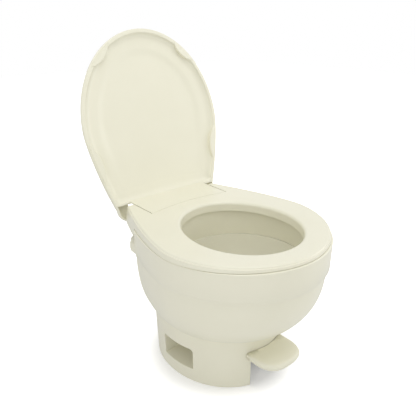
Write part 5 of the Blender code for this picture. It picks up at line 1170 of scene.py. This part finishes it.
def build_floor():
    """White to the camera, apart from the shadow close to the object. That shadow is partly rendered and
    partly painted shade: the floor glows less close to the foot, which darkens a ring round the base.
    """
    bm = bmesh.new()
    bmesh.ops.create_grid(bm, x_segments=1, y_segments=1, size=FLOOR_SIZE)
    floor = as_object("floor", bm)
    pale = bpy.data.materials.new("floor_pale")
    pale.use_nodes = True
    tree = pale.node_tree
    shader = tree.nodes["Principled BSDF"]
    shader.inputs["Base Color"].default_value = FLOOR_COLOUR
    shader.inputs["Roughness"].default_value = FLOOR_ROUGHNESS
    shader.inputs["Specular IOR Level"].default_value = FLOOR_SPECULAR
    glow = tree.nodes.new("ShaderNodeEmission")
    glow.inputs["Color"].default_value = WHITE
    path = tree.nodes.new("ShaderNodeLightPath")
    place = tree.nodes.new("ShaderNodeTexCoord")
    away = tree.nodes.new("ShaderNodeVectorMath")
    away.operation = "LENGTH"
    tree.links.new(place.outputs["Object"], away.inputs[0])
    # Painted shade: the glow is lowest close to the foot, so the floor round the base and under the pedal is
    # darker
    spread = tree.nodes.new("ShaderNodeMapRange")
    spread.inputs["From Min"].default_value = NEAR_DISTANCE
    spread.inputs["From Max"].default_value = FAR_DISTANCE
    spread.inputs["To Min"].default_value = NEAR_GLOW_PAINTED_SHADE
    spread.inputs["To Max"].default_value = FAR_GLOW
    tree.links.new(away.outputs["Value"], spread.inputs["Value"])
    strength = tree.nodes.new("ShaderNodeMath")
    strength.operation = "MULTIPLY"
    tree.links.new(path.outputs["Is Camera Ray"], strength.inputs[0])
    tree.links.new(spread.outputs["Result"], strength.inputs[1])
    tree.links.new(strength.outputs["Value"], glow.inputs["Strength"])
    both = tree.nodes.new("ShaderNodeAddShader")
    tree.links.new(shader.outputs["BSDF"], both.inputs[0])
    tree.links.new(glow.outputs["Emission"], both.inputs[1])
    tree.links.new(both.outputs["Shader"], tree.nodes["Material Output"].inputs["Surface"])
    floor.data.materials.append(pale)


def build_world():
    """Even light, white to the camera, in reflections and through what is clear."""
    world = bpy.data.worlds.new("studio")
    bpy.context.scene.world = world
    world.use_nodes = True
    tree = world.node_tree
    soft = tree.nodes["Background"]
    soft.inputs["Color"].default_value = WHITE
    soft.inputs["Strength"].default_value = WORLD_LIGHT
    white = tree.nodes.new("ShaderNodeBackground")
    white.inputs["Color"].default_value = WHITE
    white.inputs["Strength"].default_value = 1.0
    path = tree.nodes.new("ShaderNodeLightPath")
    seen = path.outputs["Is Camera Ray"]
    for kind in ("Is Glossy Ray", "Is Transmission Ray"):
        either = tree.nodes.new("ShaderNodeMath")
        either.operation = "MAXIMUM"
        tree.links.new(seen, either.inputs[0])
        tree.links.new(path.outputs[kind], either.inputs[1])
        seen = either.outputs["Value"]
    mix = tree.nodes.new("ShaderNodeMixShader")
    tree.links.new(seen, mix.inputs["Fac"])
    tree.links.new(soft.outputs["Background"], mix.inputs[1])
    tree.links.new(white.outputs["Background"], mix.inputs[2])
    tree.links.new(mix.outputs["Shader"], tree.nodes["World Output"].inputs["Surface"])


def build_light(name, place, size, power):
    data = bpy.data.lights.new(name, "AREA")
    data.shape = "RECTANGLE"
    data.size, data.size_y = size
    data.energy = power
    item = bpy.data.objects.new(name, data)
    item.location = place
    item.rotation_euler = (LIGHT_TARGET - Vector(place)).to_track_quat("-Z", "Y").to_euler()
    bpy.context.scene.collection.objects.link(item)


def build_camera():
    data = bpy.data.cameras.new("camera")
    data.sensor_width = CAMERA_SENSOR
    data.lens = CAMERA_LENS
    camera = bpy.data.objects.new("camera", data)
    camera.location = CAMERA_PLACE
    camera.rotation_euler = (math.radians(90 - CAMERA_ELEVATION), 0.0, math.radians(-CAMERA_AZIMUTH))
    bpy.context.scene.collection.objects.link(camera)
    bpy.context.scene.camera = camera


for node, item in NODES.items():
    item.data.materials.clear()
    item.data.materials.append(finish_of(node))
build_bowl()
build_basin()
build_pedestal()
build_seat()
build_lid()
build_pedal()
build_floor()
build_world()
for name, values in LIGHTS.items():
    build_light(name, *values)
build_camera()
bpy.context.scene.view_settings.view_transform = "Standard"
